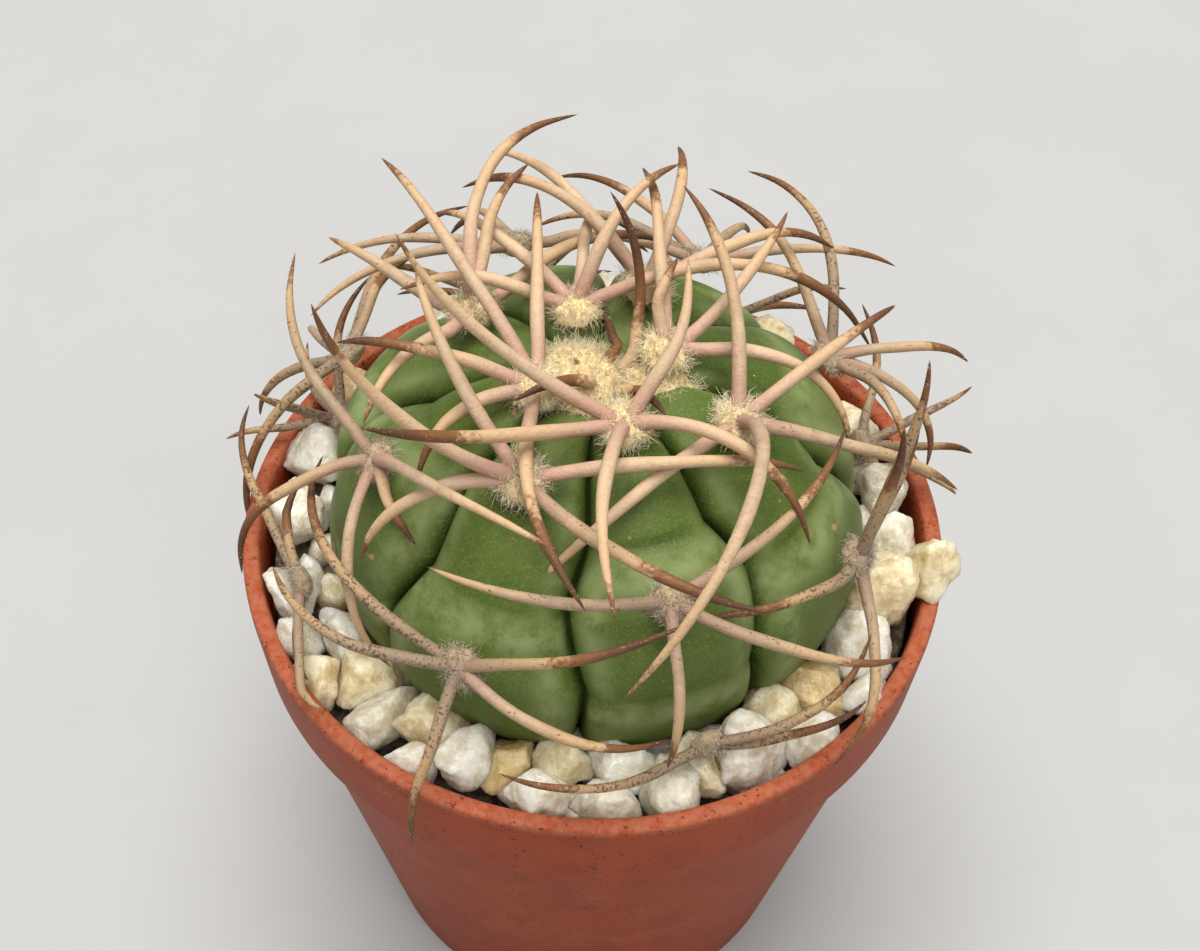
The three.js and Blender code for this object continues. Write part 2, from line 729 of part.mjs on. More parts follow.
function spineSolid(areole, line, grow = 0) {
  const across = line.at(-1).clone().sub(line[0]).cross(areole.frame.out).normalize();
  const geometry = new THREE.ConeGeometry(1, 1, SPINE_SIDES, SPINE_STEPS);
  const positions = geometry.attributes.position;
  for (let i = 0; i < positions.count; i += 1) {
    const step = Math.round((positions.getY(i) + 0.5) * SPINE_STEPS);
    const before = line[Math.max(0, step - 1)];
    const after = line[Math.min(SPINE_STEPS, step + 1)];
    const ahead = after.clone().sub(before).normalize();
    const side = across.clone().addScaledVector(ahead, -across.dot(ahead)).normalize();
    const other = side.clone().cross(ahead);
    const around = new THREE.Vector2(positions.getX(i), positions.getZ(i));
    const point = line[step].clone();
    if (around.length() > 1e-6 && step < SPINE_STEPS) {
      around.setLength(spineRadius(areole, step / SPINE_STEPS) + grow);
      point.addScaledVector(side, around.x).addScaledVector(other, around.y);
    }
    positions.setXYZ(i, point.x, point.y, point.z);
  }
  return solidOf(geometry);
}

// An areole's pad and spines, joined.
function clusterSolid(areole, grow = 0) {
  const { frame, pad, lines } = areole;
  const base = pad.centre.clone().addScaledVector(frame.normal, -grow);
  let cluster = domeSolid(base, frame.normal, pad.half[0] + grow, pad.half[2] + 2 * grow);
  lines.forEach((line) => {
    cluster = cluster.add(spineSolid(areole, line, grow));
  });
  return cluster;
}

// ---- Put together ----
const areoles = RIBS.flatMap((rib, i) => rib.areoles.map((areole) => {
  const frame = areoleFrame(rib.azimuth + (areole.lean ?? 0), areole.polar);
  const base = frame.centre.clone().addScaledVector(frame.normal, seatHeight(frame));
  frame.foot = base.clone().addScaledVector(frame.normal, PAD_THICKNESS / 2);
  const axes = [frame.up, frame.right, frame.normal];
  const pad = { centre: base, axes, half: [PAD_RADIUS, PAD_RADIUS, PAD_THICKNESS] };
  return { ...areole, name: `spines_rib${i + 1}_${areole.tier}`, frame, pad, lines: [] };
}));
areoles.forEach((areole) => {
  areole.spines.forEach((spine) => {
    areole.lines.push(settledLine(areole, spine, areoles));
  });
});

const crownFrame = areoleFrame(CROWN.azimuth, CROWN.polar);
crownFrame.normal.set(0, 0, 1);
crownFrame.foot = crownFrame.centre.clone().addScaledVector(crownFrame.normal, 1);
const crown = {
  name: "crown_wool",
  tier: "top",
  frame: crownFrame,
  pad: { centre: crownFrame.centre, half: [WOOL_RADIUS, WOOL_RADIUS, WOOL_THICKNESS] },
  lines: [],
};
CROWN.spines.forEach((spine) => {
  crown.lines.push(settledLine(crown, spine, areoles));
});

place("pot", potSolid(), COLOURS.pot, 0.5);
place("potting_soil", soilSolid(), COLOURS.soil, 0.95);
place("cactus_body", bodySolid(), COLOURS.body, 0.6);

const skinWithGap = bodySolid(GAP);
place("gravel_bed", gravelBedSolid().subtract(skinWithGap), COLOURS.gravelBed, 0.9);

const lipWithGap = solidOf(latheGeometry([
  [mouthRadius - GAP, SOIL_TOP],
  [POT_RIM_RADIUS + 8, SOIL_TOP],
  [POT_RIM_RADIUS + 8, POT_HEIGHT + GAP],
  [mouthRadius - GAP, POT_HEIGHT + GAP],
  [mouthRadius - GAP, SOIL_TOP],
], POT_SEGMENTS));
const bedWithGap = gravelBedSolid(GAP);
const clustersWithGap = areoles.map((areole) => clusterSolid(areole, GAP));
stones.forEach((stone) => {
  let solid = stoneSolid(stone);
  stones.filter((other) => other !== stone).forEach((other) => {
    solid = trimBetween(solid, stone, other);
  });
  solid = solid.subtract(skinWithGap).subtract(lipWithGap).subtract(bedWithGap);
  clustersWithGap.forEach((cluster) => {
    solid = solid.subtract(cluster);
  });
  place(stone.name, solid, COLOURS.stone, 0.4);
});

let wool = clusterSolid(crown).subtract(bodySolid(2 * GAP));
areoles.forEach((areole, i) => {
  place(areole.name, clusterSolid(areole), COLOURS.spine, 0.5);
  wool = wool.subtract(clustersWithGap[i]);
});
place(crown.name, wool, COLOURS.wool, 0.95);

export default root;
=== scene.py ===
# %% [markdown]
# # A chin cactus in its nursery pot
#
# A small globe cactus with swollen chins under its spine pads, in a moulded plastic pot topped
# with quartz gravel. Its solids come in as a fixed frame. The frame is loaded first, because
# every cell below gives one of its pieces the fine shape and the finish of the real material.

# %% Load the frame
import math

import bmesh
import bpy
import numpy as np
from mathutils import Matrix, Vector, noise


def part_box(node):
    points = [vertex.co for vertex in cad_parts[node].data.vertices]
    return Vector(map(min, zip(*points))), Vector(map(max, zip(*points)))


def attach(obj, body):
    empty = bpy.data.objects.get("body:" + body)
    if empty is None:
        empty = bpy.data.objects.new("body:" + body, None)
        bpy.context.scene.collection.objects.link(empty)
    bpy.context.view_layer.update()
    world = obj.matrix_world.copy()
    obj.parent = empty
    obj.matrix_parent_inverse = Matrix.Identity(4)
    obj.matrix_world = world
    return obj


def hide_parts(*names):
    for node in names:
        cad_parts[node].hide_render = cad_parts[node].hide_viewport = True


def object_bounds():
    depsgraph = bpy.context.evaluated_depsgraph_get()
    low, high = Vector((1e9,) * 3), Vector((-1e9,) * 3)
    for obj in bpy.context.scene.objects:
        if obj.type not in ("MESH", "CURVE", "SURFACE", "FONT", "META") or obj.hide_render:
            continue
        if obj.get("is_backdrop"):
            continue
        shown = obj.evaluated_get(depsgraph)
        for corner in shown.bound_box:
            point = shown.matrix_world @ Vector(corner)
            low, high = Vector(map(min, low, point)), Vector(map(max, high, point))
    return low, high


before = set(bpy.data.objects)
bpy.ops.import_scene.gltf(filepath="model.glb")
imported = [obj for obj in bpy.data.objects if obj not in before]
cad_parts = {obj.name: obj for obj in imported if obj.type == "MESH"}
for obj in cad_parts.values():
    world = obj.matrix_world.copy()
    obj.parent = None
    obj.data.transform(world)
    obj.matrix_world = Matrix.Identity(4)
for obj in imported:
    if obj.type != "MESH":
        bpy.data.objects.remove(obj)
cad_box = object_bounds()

MM = 0.001
print("solids in the frame:", len(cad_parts))

# %% [markdown]
# ## The camera
#
# The plant is seen from close by, about fifty degrees above the table. A constraint could aim
# the camera, but a plain position with two turns is easier to read and repeats exactly: tip it
# down from the horizon, then roll it a little about its own axis.

# %% Camera
def add_to_scene(name, data):
    made = bpy.data.objects.new(name, data)
    bpy.context.scene.collection.objects.link(made)
    return made


CAMERA_PLACE = Vector((0.4, -98.9, 178.1)) * MM
CAMERA_DIP = 49.7  # degrees below the horizon
CAMERA_ROLL = 1.9
CAMERA_LENS = 50.67  # millimetres, on a sensor 36 mm wide

camera = add_to_scene("camera", bpy.data.cameras.new("camera"))
camera.data.lens = CAMERA_LENS
camera.data.sensor_width = 36
camera.data.clip_start = 0.001
camera.matrix_world = (
    Matrix.Translation(CAMERA_PLACE)
    @ Matrix.Rotation(math.radians(90 - CAMERA_DIP), 4, "X")
    @ Matrix.Rotation(math.radians(CAMERA_ROLL), 4, "Z")
)
bpy.context.scene.camera = camera
print("camera is", round(CAMERA_PLACE.length / MM), "mm from the middle of the base")

# %% [markdown]
# ## Meshes from arrays
#
# Cactus skin, spines and felt all have thousands of points that follow a rule, so each is worked
# out as a numpy array and turned into a mesh in one go. That is faster and shorter than placing
# points one by one. Values that a material needs later, such as how far along a spine a point
# lies, travel with the mesh as named attributes.

# %% Make an object
def as_lists(faces):
    return faces.tolist() if isinstance(faces, np.ndarray) else list(faces)


def add_object(name, points, faces, materials, values=None, face_slots=None):
    mesh = bpy.data.meshes.new(name)
    mesh.from_pydata(np.asarray(points, float).tolist(), [], as_lists(faces))
    for material in materials:
        mesh.materials.append(material)
    for key, numbers in (values or {}).items():
        attribute = mesh.attributes.new(key, "FLOAT", "POINT")
        attribute.data.foreach_set("value", np.asarray(numbers, np.float32))
    if face_slots is not None:
        mesh.polygons.foreach_set("material_index", np.asarray(face_slots, np.int32))
    mesh.polygons.foreach_set("use_smooth", [True] * len(mesh.polygons))
    mesh.update()
    return add_to_scene(name, mesh)


def add_joined(name, parts, materials):
    """One object from several (points, faces, values, slot)."""
    points, faces, slots = [], [], []
    values = {key: [] for key in parts[0][2]}
    start = 0
    for part_points, part_faces, part_values, slot in parts:
        points.append(part_points)
        faces += [[i + start for i in face] for face in as_lists(part_faces)]
        slots += [slot] * len(part_faces)
        for key in values:
            values[key].append(np.broadcast_to(part_values[key], len(part_points)))
        start += len(part_points)
    joined = {key: np.concatenate(arrays) for key, arrays in values.items()}
    return add_object(name, np.concatenate(points), faces, materials, joined, slots)


# %% Rings of points and the faces between them
def unit(vectors):
    return vectors / np.maximum(np.linalg.norm(vectors, axis=-1, keepdims=True), 1e-12)


def full_turn(steps):
    return np.linspace(0, 2 * math.pi, steps, endpoint=False)


def as_points(x, y, z):
    return np.stack([x, y, z], -1).reshape(-1, 3)


def round_axis(radius, angle):
    """x and y at an angle in radians, counted from the front."""
    return radius * np.sin(angle), -radius * np.cos(angle)


def ring_faces(rows, columns):
    """Quads between rows of points that each run round in a ring."""
    across = np.arange(columns)
    after = (across + 1) % columns
    start = np.arange(rows - 1)[:, None] * columns
    quads = [start + across, start + after, start + columns + after, start + columns + across]
    return np.stack(quads, -1).reshape(-1, 4)


def capped_faces(rows, columns):
    """The same, with one flat face over each end."""
    last = (rows - 1) * columns
    caps = [list(range(columns)), list(range(last, last + columns))[::-1]]
    return ring_faces(rows, columns).tolist() + caps


def pointed_faces(rows, columns):
    """The same, with a fan at each end to the two points that follow the last ring."""
    faces = ring_faces(rows, columns).tolist()
    last, foot = (rows - 1) * columns, rows * columns
    for i in range(columns):
        faces.append([foot, (i + 1) % columns, i])
        faces.append([foot + 1, last + i, last + (i + 1) % columns])
    return faces


def turn_faces_out(made):
    shape = bmesh.new()
    shape.from_mesh(made.data)
    bmesh.ops.recalc_face_normals(shape, faces=shape.faces)
    shape.to_mesh(made.data)
    shape.free()


# %% [markdown]
# ## Shader helpers
#
# A finish is a small network of nodes. These helpers add one node and wire its inputs in a
# single call, so that a material reads like a recipe from top to bottom. Textures use object
# coordinates: every piece sits at the origin in metres, so a grain of a given scale has the
# same real size on all of them.

# %% Wire nodes
def add_node(tree, kind, inputs=None, **settings):
    """An input is another node's output, a number, or a colour of three numbers."""
    made = tree.nodes.new(kind)
    for key, setting in settings.items():
        setattr(made, key, setting)
    for key, value in (inputs or {}).items():
        if isinstance(value, bpy.types.NodeSocket):
            tree.links.new(value, made.inputs[key])
        else:
            made.inputs[key].default_value = (*value, 1) if isinstance(value, tuple) else value
    return made


def here(tree):
    return add_node(tree, "ShaderNodeTexCoord").outputs["Object"]


def height_of(tree):
    """Height above the table, in metres."""
    return add_node(tree, "ShaderNodeSeparateXYZ", {"Vector": here(tree)}).outputs["Z"]


def carried(tree, key):
    """A value that the mesh carries."""
    return add_node(tree, "ShaderNodeAttribute", attribute_name=key).outputs["Fac"]


def noise_at(tree, scale, detail=3.0, roughness=0.5, distortion=0.0):
    inputs = {"Vector": here(tree), "Scale": scale, "Detail": detail, "Roughness": roughness,
              "Distortion": distortion}
    return add_node(tree, "ShaderNodeTexNoise", inputs).outputs["Fac"]


def lumps_of(tree, size, *settings):
    """Smooth noise whose lumps are about size millimetres apart."""
    return noise_at(tree, 1 / (size * MM), *settings)


def fade(tree, value, low, high):
    """0 below low, 1 above high, with a soft step between them."""
    inputs = {"Value": value, "From Min": low, "From Max": high}
    return add_node(tree, "ShaderNodeMapRange", inputs, interpolation_type="SMOOTHSTEP").outputs[0]


def calculate(tree, operation, a, b):
    return add_node(tree, "ShaderNodeMath", {0: a, 1: b}, operation=operation).outputs[0]


def plus(tree, a, b):
    return calculate(tree, "ADD", a, b)


def times(tree, a, b):
    return calculate(tree, "MULTIPLY", a, b)


def mix_colours(tree, share, a, b, blend="MIX"):
    inputs = {0: share, 6: a, 7: b}
    return add_node(tree, "ShaderNodeMix", inputs, data_type="RGBA", blend_type=blend).outputs[2]


def layers(tree, colour, *rows):
    """Lays colours over one another. A row is a colour and the masks that let it through."""
    for above, *masks in rows:
        share = masks[0]
        for mask in masks[1:]:
            share = times(tree, share, mask)
        colour = mix_colours(tree, share, colour, above)
    return colour


# %% [markdown]
# ## Shared effects
#
# Three things turn up on nearly every surface here: fine specks, uneven colour, and a grain that
# catches the light. Each is one node group with its own inputs, built once and then placed in
# every material with that material's values. Painting them by hand would be lost from other
# sides, and a texture picture would blur close up.

# %% Node groups
def new_group(name, inputs, result, kind="Float"):
    """A group with one output. An input is a number, or a colour of four numbers."""
    group = bpy.data.node_groups.new(name, "ShaderNodeTree")
    for label, value in inputs.items():
        own_kind = "Color" if isinstance(value, tuple) else "Float"
        socket = group.interface.new_socket(label, in_out="INPUT", socket_type="NodeSocket" + own_kind)
        socket.default_value = value
    group.interface.new_socket(result, in_out="OUTPUT", socket_type="NodeSocket" + kind)
    return group, group.nodes.new("NodeGroupInput").outputs, group.nodes.new("NodeGroupOutput").inputs[0]


def make_specks():
    """Small dark or pale spots: Mask is 1 on a spot. More of them as Amount grows."""
    inputs = {"Scale": 3000.0, "Amount": 0.3, "Edge": 0.05}
    tree, given, result = new_group("specks", inputs, "Mask")
    fine = noise_at(tree, given["Scale"], 2.0)
    broad = noise_at(tree, times(tree, given["Scale"], 0.17), 2.0)
    both = plus(tree, times(tree, fine, 0.75), times(tree, broad, 0.25))
    low = calculate(tree, "SUBTRACT", 0.74, times(tree, given["Amount"], 0.3))
    tree.links.new(fade(tree, both, low, plus(tree, low, given["Edge"])), result)
    return tree


def make_mottle():
    """Uneven colour: slides from Colour A to Colour B in soft clouds."""
    inputs = {"Scale": 300.0, "Contrast": 0.5, "Colour A": (0, 0, 0, 1), "Colour B": (1, 1, 1, 1)}
    tree, given, result = new_group("mottle", inputs, "Colour", "Color")
    half = times(tree, calculate(tree, "SUBTRACT", 1.0, given["Contrast"]), 0.25)
    low = calculate(tree, "SUBTRACT", 0.48, half)
    share = fade(tree, noise_at(tree, given["Scale"], 4.0, 0.6), low, plus(tree, 0.52, half))
    tree.links.new(mix_colours(tree, share, given["Colour A"], given["Colour B"]), result)
    return tree


def make_grain():
    """Surface grain: Height feeds a Bump node, from fine noise over coarser noise."""
    tree, given, result = new_group("grain", {"Scale": 4000.0, "Coarse": 0.4}, "Height")
    fine = noise_at(tree, given["Scale"], 3.0, 0.6)
    coarse = noise_at(tree, times(tree, given["Scale"], 0.2), 3.0)
    tree.links.new(plus(tree, fine, times(tree, coarse, given["Coarse"])), result)
    return tree


GROUPS = {"specks": make_specks(), "mottle": make_mottle(), "grain": make_grain()}
print("shared effects:", ", ".join(GROUPS))


# %% Use the groups. Sizes and depths are in millimetres
def use_group(tree, name, size, **inputs):
    inputs = {key.replace("_", " "): value for key, value in inputs.items()}
    inputs["Scale"] = 1 / (size * MM)
    return add_node(tree, "ShaderNodeGroup", inputs, node_tree=GROUPS[name]).outputs[0]


def specks(tree, size, amount, edge=0.05):
    return use_group(tree, "specks", size, Amount=amount, Edge=edge)


def mottle(tree, size, a, b, contrast=0.5):
    return use_group(tree, "mottle", size, Contrast=contrast, Colour_A=a, Colour_B=b)


def grain_bump(tree, size, depth, coarse):
    height = use_group(tree, "grain", size, Coarse=coarse)
    inputs = {"Height": height, "Strength": 1.0, "Distance": depth * MM}
    return add_node(tree, "ShaderNodeBump", inputs).outputs["Normal"]


def new_finish(name, recipe, **constants):
    """A material with one Principled shader. The recipe wires what changes over the surface."""
    material = bpy.data.materials.new(name)
    material.use_nodes = True
    tree = material.node_tree
    shader = tree.nodes["Principled BSDF"]
    for key, value in constants.items():
        shader.inputs[key.replace("_", " ")].default_value = value
    for key, socket in recipe(tree).items():
        tree.links.new(socket, shader.inputs[key])
    print("finish", name, "has", len(tree.nodes), "nodes")
    return material


# %% [markdown]
# ## Pot plastic
#
# The pot is moulded from terracotta-coloured plastic with a dry, slightly chalky face. Real
# plastic of this kind isn't one flat red: the colour drifts, dark specks sit in it and handling
# leaves pale scuffs. The top of the lip, which faces up, is painted paler in patches as painted
# light. All of these are cheap to make from noise, and the painted light asks how high a point lies.

# %% Pot finish
POT_RED = (0.335, 0.061, 0.020)
POT_DEEP = (0.285, 0.049, 0.016)
POT_LIP_LIGHT = (0.44, 0.21, 0.13)
POT_SPECK = (0.05, 0.018, 0.012)
POT_SCUFF = (0.62, 0.30, 0.21)
LIP_FROM = 53.9 * MM  # the painted light on the top of the lip starts here
LIP_FADE = 0.8 * MM


def pot_recipe(tree):
    patches = fade(tree, lumps_of(tree, 7, 2), 0.56, 0.7)
    scuffed = times(tree, patches, fade(tree, lumps_of(tree, 0.45, 4, 0.7), 0.5, 0.64))
    lip_light = fade(tree, height_of(tree), LIP_FROM, LIP_FROM + LIP_FADE)
    colour = layers(
        tree, mottle(tree, 5, POT_RED, POT_DEEP, 0.3),
        (POT_SCUFF, scuffed, 0.35),
        # painted light: the upward top of the lip is paler, in patches
        (POT_LIP_LIGHT, lip_light, fade(tree, lumps_of(tree, 0.8, 4, 0.7), 0.3, 0.62), 0.35),
        (POT_SPECK, specks(tree, 0.36, 0.42, 0.03), 0.8),
    )
    roughness = plus(tree, 0.5, times(tree, scuffed, 0.3))
    return {"Base Color": colour, "Roughness": roughness, "Normal": grain_bump(tree, 0.35, 0.07, 0.5)}


pot_plastic = new_finish("pot_plastic", pot_recipe, Specular_IOR_Level=0.1)

# %% [markdown]
# ## The pot
#
# A moulded pot is a turned shape, so its outline is spun round the axis. The frame holds it with
# a few flat facets, and this copy keeps the same outline with finer steps, rounded edges on the
# lip and the slight waviness that thin plastic takes. The drain holes are cut with a boolean,
# which is how the mould's pins leave them: straight and clean.

# %% Pot sizes
pot_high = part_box("pot")[1]
POT_TOP = pot_high.z
RIM_RADIUS = pot_high.x
LIP_WIDTH = 1.5 * MM
LIP_HEIGHT = 1.2 * MM
BAND_HEIGHT = 8.8 * MM
BAND_TAPER = 0.5 * MM
BAND_STEP = 1.3 * MM
WALL = 1.2 * MM
BASE_RADIUS = 23 * MM
FLOOR = 1.6 * MM
DRAIN_HOLES = 6
DRAIN_RADIUS = 2.4 * MM
DRAIN_RING = 15 * MM
POT_STEPS = 180
POT_WAVE = 0.0012  # of its radius
SHARP, CRISP, SOFT, BLUNT, DEEP = (rounding * MM for rounding in (0.3, 0.4, 0.5, 0.8, 1.0))

BAND_FOOT = POT_TOP - BAND_HEIGHT
BAND_RADIUS = RIM_RADIUS - BAND_TAPER
WALL_TOP_RADIUS = BAND_RADIUS - BAND_STEP
MOUTH_RADIUS = RIM_RADIUS - LIP_WIDTH - 0.3 * MM
print("the pot's mouth is", round(2 * MOUTH_RADIUS / MM, 1), "mm wide")


# %% Turn an outline
def rounded_outline(corners, steps=5):
    """Corners are (radius, height, rounding). Each is replaced by a short arc."""
    points = []
    for i, (x, z, rounding) in enumerate(corners):
        corner = np.array((x, z))
        if rounding == 0 or i in (0, len(corners) - 1):
            points.append(corner)
            continue
        before = unit(np.array(corners[i - 1][:2]) - corner) * rounding
        after = unit(np.array(corners[i + 1][:2]) - corner) * rounding
        for t in np.linspace(0, 1, steps):
            points.append(corner + before * (1 - t) ** 2 + after * t ** 2)
    return np.array(points)


def lathe(name, outline, steps, material, wave):
    """Spins an outline that starts and ends on the axis."""
    turn = full_turn(steps)
    ring = outline[1:-1]
    sway = 1 + wave * np.sin(3 * turn + 1) + 0.6 * wave * np.sin(7 * turn)
    x, y = round_axis(ring[:, :1] * sway, turn)
    points = as_points(x, y, np.repeat(ring[:, 1:], steps, 1))
    points = np.vstack([points, [0, 0, outline[0][1]], [0, 0, outline[-1][1]]])
    made = add_object(name, points, pointed_faces(len(ring), steps), [material])
    turn_faces_out(made)
    return made


def cut(made, tool):
    """Cuts the tool out of an object for good, and removes the tool."""
    modifier = made.modifiers.new("cut", "BOOLEAN")
    modifier.operation = "DIFFERENCE"
    modifier.object = tool
    depsgraph = bpy.context.evaluated_depsgraph_get()
    result = bpy.data.meshes.new_from_object(made.evaluated_get(depsgraph))
    made.modifiers.clear()
    made.data = result
    bpy.data.objects.remove(tool)


def inner_radius(height):
    return BASE_RADIUS + (WALL_TOP_RADIUS - BASE_RADIUS) * height / BAND_FOOT - WALL


# %% Pot
pot_outline = rounded_outline([
    (0, 0, 0),
    (BASE_RADIUS, 0, BLUNT),
    (WALL_TOP_RADIUS, BAND_FOOT, SHARP),
    (BAND_RADIUS, BAND_FOOT, CRISP),
    (RIM_RADIUS, POT_TOP - LIP_HEIGHT, SOFT),
    (RIM_RADIUS, POT_TOP, SOFT),
    (RIM_RADIUS - LIP_WIDTH, POT_TOP, SOFT),
    (MOUTH_RADIUS, POT_TOP - LIP_HEIGHT - 0.3 * MM, CRISP),
    (MOUTH_RADIUS, BAND_FOOT + 0.8 * MM, CRISP),
    (inner_radius(BAND_FOOT), BAND_FOOT - 0.6 * MM, CRISP),
    (inner_radius(FLOOR), FLOOR, DEEP),
    (0, FLOOR, 0),
])
pot = lathe("pot_moulded", pot_outline, POT_STEPS, pot_plastic, POT_WAVE)
for i in range(DRAIN_HOLES):
    place = (*round_axis(DRAIN_RING, 2 * math.pi * i / DRAIN_HOLES), 0)
    bpy.ops.mesh.primitive_cylinder_add(vertices=32, radius=DRAIN_RADIUS, depth=4 * FLOOR, location=place)
    cut(pot, bpy.context.object)
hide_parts("pot")
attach(pot, "root")
print("pot faces:", len(pot.data.polygons))

# %% [markdown]
# ## Potting soil
#
# Under the gravel the pot is full of dark mix. It shows only through the drain holes, so the
# frame's own solid is kept and given a crumbly finish.

# %% Soil finish
SOIL_DARK = (0.022, 0.014, 0.009)
SOIL_BROWN = (0.07, 0.043, 0.026)
SOIL_GRIT = (0.16, 0.12, 0.08)


def soil_recipe(tree):
    colour = layers(tree, mottle(tree, 1.2, SOIL_DARK, SOIL_BROWN, 0.6), (SOIL_GRIT, specks(tree, 0.5, 0.4)))
    return {"Base Color": colour, "Normal": grain_bump(tree, 0.5, 0.3, 1.0)}


soil_mix = new_finish("soil_mix", soil_recipe, Roughness=0.95)
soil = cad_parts["potting_soil"]
soil.data.materials.clear()
soil.data.materials.append(soil_mix)

# %% [markdown]
# ## Cactus skin
#
# The skin is a matte, waxy green. Painted shade makes it darkest in the creases and notches, and
# a pale waxy bloom on the shoulders of each lobe is partly a painted highlight where they face up.
# Tiny pale pores cover it, with a white fleck here and there, a few scars, and cork where it meets
# the gravel. The mesh carries two values for this: one is 1 in a crease, where the shade is
# painted, and the other is 1 on the pale shoulders.

# %% Skin finish
SKIN_GREEN = (0.062, 0.108, 0.014)
SKIN_OLIVE = (0.090, 0.124, 0.019)
SKIN_CREASE_SHADE = (0.02, 0.042, 0.005)
SKIN_BLOOM_AND_HIGHLIGHT = (0.235, 0.285, 0.115)
SKIN_PORE = (0.22, 0.26, 0.075)
SKIN_FLECK = (0.8, 0.8, 0.7)
SKIN_SCAR = (0.42, 0.29, 0.13)
SKIN_CORK = (0.20, 0.155, 0.065)
CORK_BELOW = 54.5 * MM  # the skin turns corky where it meets the gravel
CORK_FADE = 4 * MM


def skin_recipe(tree):
    # the pale waxy bloom, partly a painted highlight on the shoulders that face up
    bloom_and_highlight = times(tree, carried(tree, "bloom_and_highlight"), fade(tree, lumps_of(tree, 3, 4, 0.6), 0.25, 0.6))
    low = fade(tree, height_of(tree), CORK_BELOW, CORK_BELOW - CORK_FADE)
    colour = layers(
        tree, mottle(tree, 8, SKIN_GREEN, SKIN_OLIVE, 0.2),
        (SKIN_BLOOM_AND_HIGHLIGHT, bloom_and_highlight),
        # painted shade in the creases and notches
        (SKIN_CREASE_SHADE, carried(tree, "crease_shade"), 0.85),
        (SKIN_PORE, specks(tree, 0.26, 0.5, 0.06), 0.4),
        (SKIN_PORE, fade(tree, lumps_of(tree, 0.22, 2), 0.46, 0.62), 0.2),
        (SKIN_FLECK, specks(tree, 0.5, -0.04, 0.02)),
        (SKIN_SCAR, fade(tree, lumps_of(tree, 2.4, 2), 0.735, 0.77), 0.8),
        (SKIN_CORK, low, fade(tree, lumps_of(tree, 1.5, 4, 0.65), 0.4, 0.65), 0.7),
    )
    roughness = plus(tree, 0.5, times(tree, bloom_and_highlight, 0.18))
    return {"Base Color": colour, "Roughness": roughness, "Normal": grain_bump(tree, 0.3, 0.035, 0.8)}


cactus_skin = new_finish("cactus_skin", skin_recipe, Specular_IOR_Level=0.18, Subsurface_Weight=0.1,
                         Subsurface_Radius=(0.9, 1.0, 0.3), Subsurface_Scale=0.6 * MM)

# %% [markdown]
# ## Where the spine pads are
#
# Each spine cluster in the frame is one solid: a pad with a few tapered arms. A spine's tip is
# the corner where four edges meet in a long point, and each ring of four corners behind it is
# one step of the spine. Walking inwards ring by ring gives back its middle line, so the fine
# spines below grow where the solid ones are. The corners left over belong to the pad, and their
# mean is its middle.

# %% Read a cluster
RING = 4  # corners in one ring of a spine in the frame
SAME_PLACE = 0.002 * MM
TIP_LENGTH = 1.5  # a tip is at least this much longer than it is wide
WIDEST_TIP = 0.9 * MM
WIDEST_RING = 0.95 * MM
LEAST_GROWTH = 0.8  # from one ring to the next, or the ring isn't the spine's


def middle_of(verts):
    return sum((v.co for v in verts), Vector()) / len(verts)


def read_cluster(name):
    """The pad's middle and, for each spine, its line of points from the foot to the tip."""
    shape = bmesh.new()
    shape.from_mesh(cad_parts[name].data)
    bmesh.ops.remove_doubles(shape, verts=shape.verts, dist=SAME_PLACE)
    arms = []
    taken = set()
    for tip in shape.verts:
        ring = [edge.other_vert(tip) for edge in tip.link_edges]
        if len(ring) != RING:
            continue
        middle = middle_of(ring)
        width = max((v.co - middle).length for v in ring)
        if (tip.co - middle).length < TIP_LENGTH * width or width > WIDEST_TIP:
            continue
        line, last_width, seen = [tip.co.copy()], 0.0, {tip}
        while len(ring) == RING:
            middle = middle_of(ring)
            width = sum((v.co - middle).length for v in ring) / RING
            if width > WIDEST_RING or width < last_width * LEAST_GROWTH:
                break
            line.append(middle)
            last_width = width
            seen.update(ring)
            ring = list({edge.other_vert(v) for v in ring for edge in v.link_edges} - seen)
        if len(line) > 1:
            arms.append(line[::-1])
            taken |= seen
    pad = middle_of([v for v in shape.verts if v not in taken])
    shape.free()
    return pad, arms


clusters = {}
for name in sorted(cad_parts):
    if name.startswith("spines_") or name == "crown_wool":
        clusters[name] = read_cluster(name)
print("pads:", len(clusters), "spines:", sum(len(arms) for pad, arms in clusters.values()))

# %% [markdown]
# ## The cactus body
#
# The body is one grown globe. A subdivided solid would soften its creases away, so it is drawn
# again from a rule: a flattened globe, grooves between the ribs, and a chin that swells under
# each pad. The ribs and the steps between chins are found from the pads, so the fine body agrees
# with the spines that grow on it. Neighbouring chins push the crease between them sideways,
# which is why it winds, and a short notch folds in above a rib's second pad.

# %% Body sizes
BODY_RADIUS = 23.5 * MM
BODY_CENTRE = np.array((0, -0.5, 59)) * MM
BODY_TOP = 17.2 * MM
BODY_BOTTOM = 17.4 * MM
NECK_DROP = 3 * MM
GROOVE_DEPTH = 0.115
GROOVE_EASE = 0.5  # of the grooves' depth, lost towards the soil
CHIN_SWELL = 0.05
CHIN_FLOOR = 0.45  # of the swelling, left between two chins
CROWN_DIP = 0.23
CROWN_DIP_ANGLE = 11
RIB_POWER = 3.0  # a larger power gives a rib a flatter face with steeper sides
FIRST_LOBE_START = 8
LOBE_START_SHARE = 0.28
LOWEST_LOBE_LENGTH = 75
LOBE_SWELL = (1.0, 1.0, 0.35)  # a rib's third lobe hardly swells
FULL_CHIN_LENGTH = 30
CREASE_WIND = 0.13  # how far a chin pushes the crease beside it
CREASE_FOLD = 0.03  # the thin fold at the bottom of a crease, of the radius
CREASE_WIDTH = 0.035
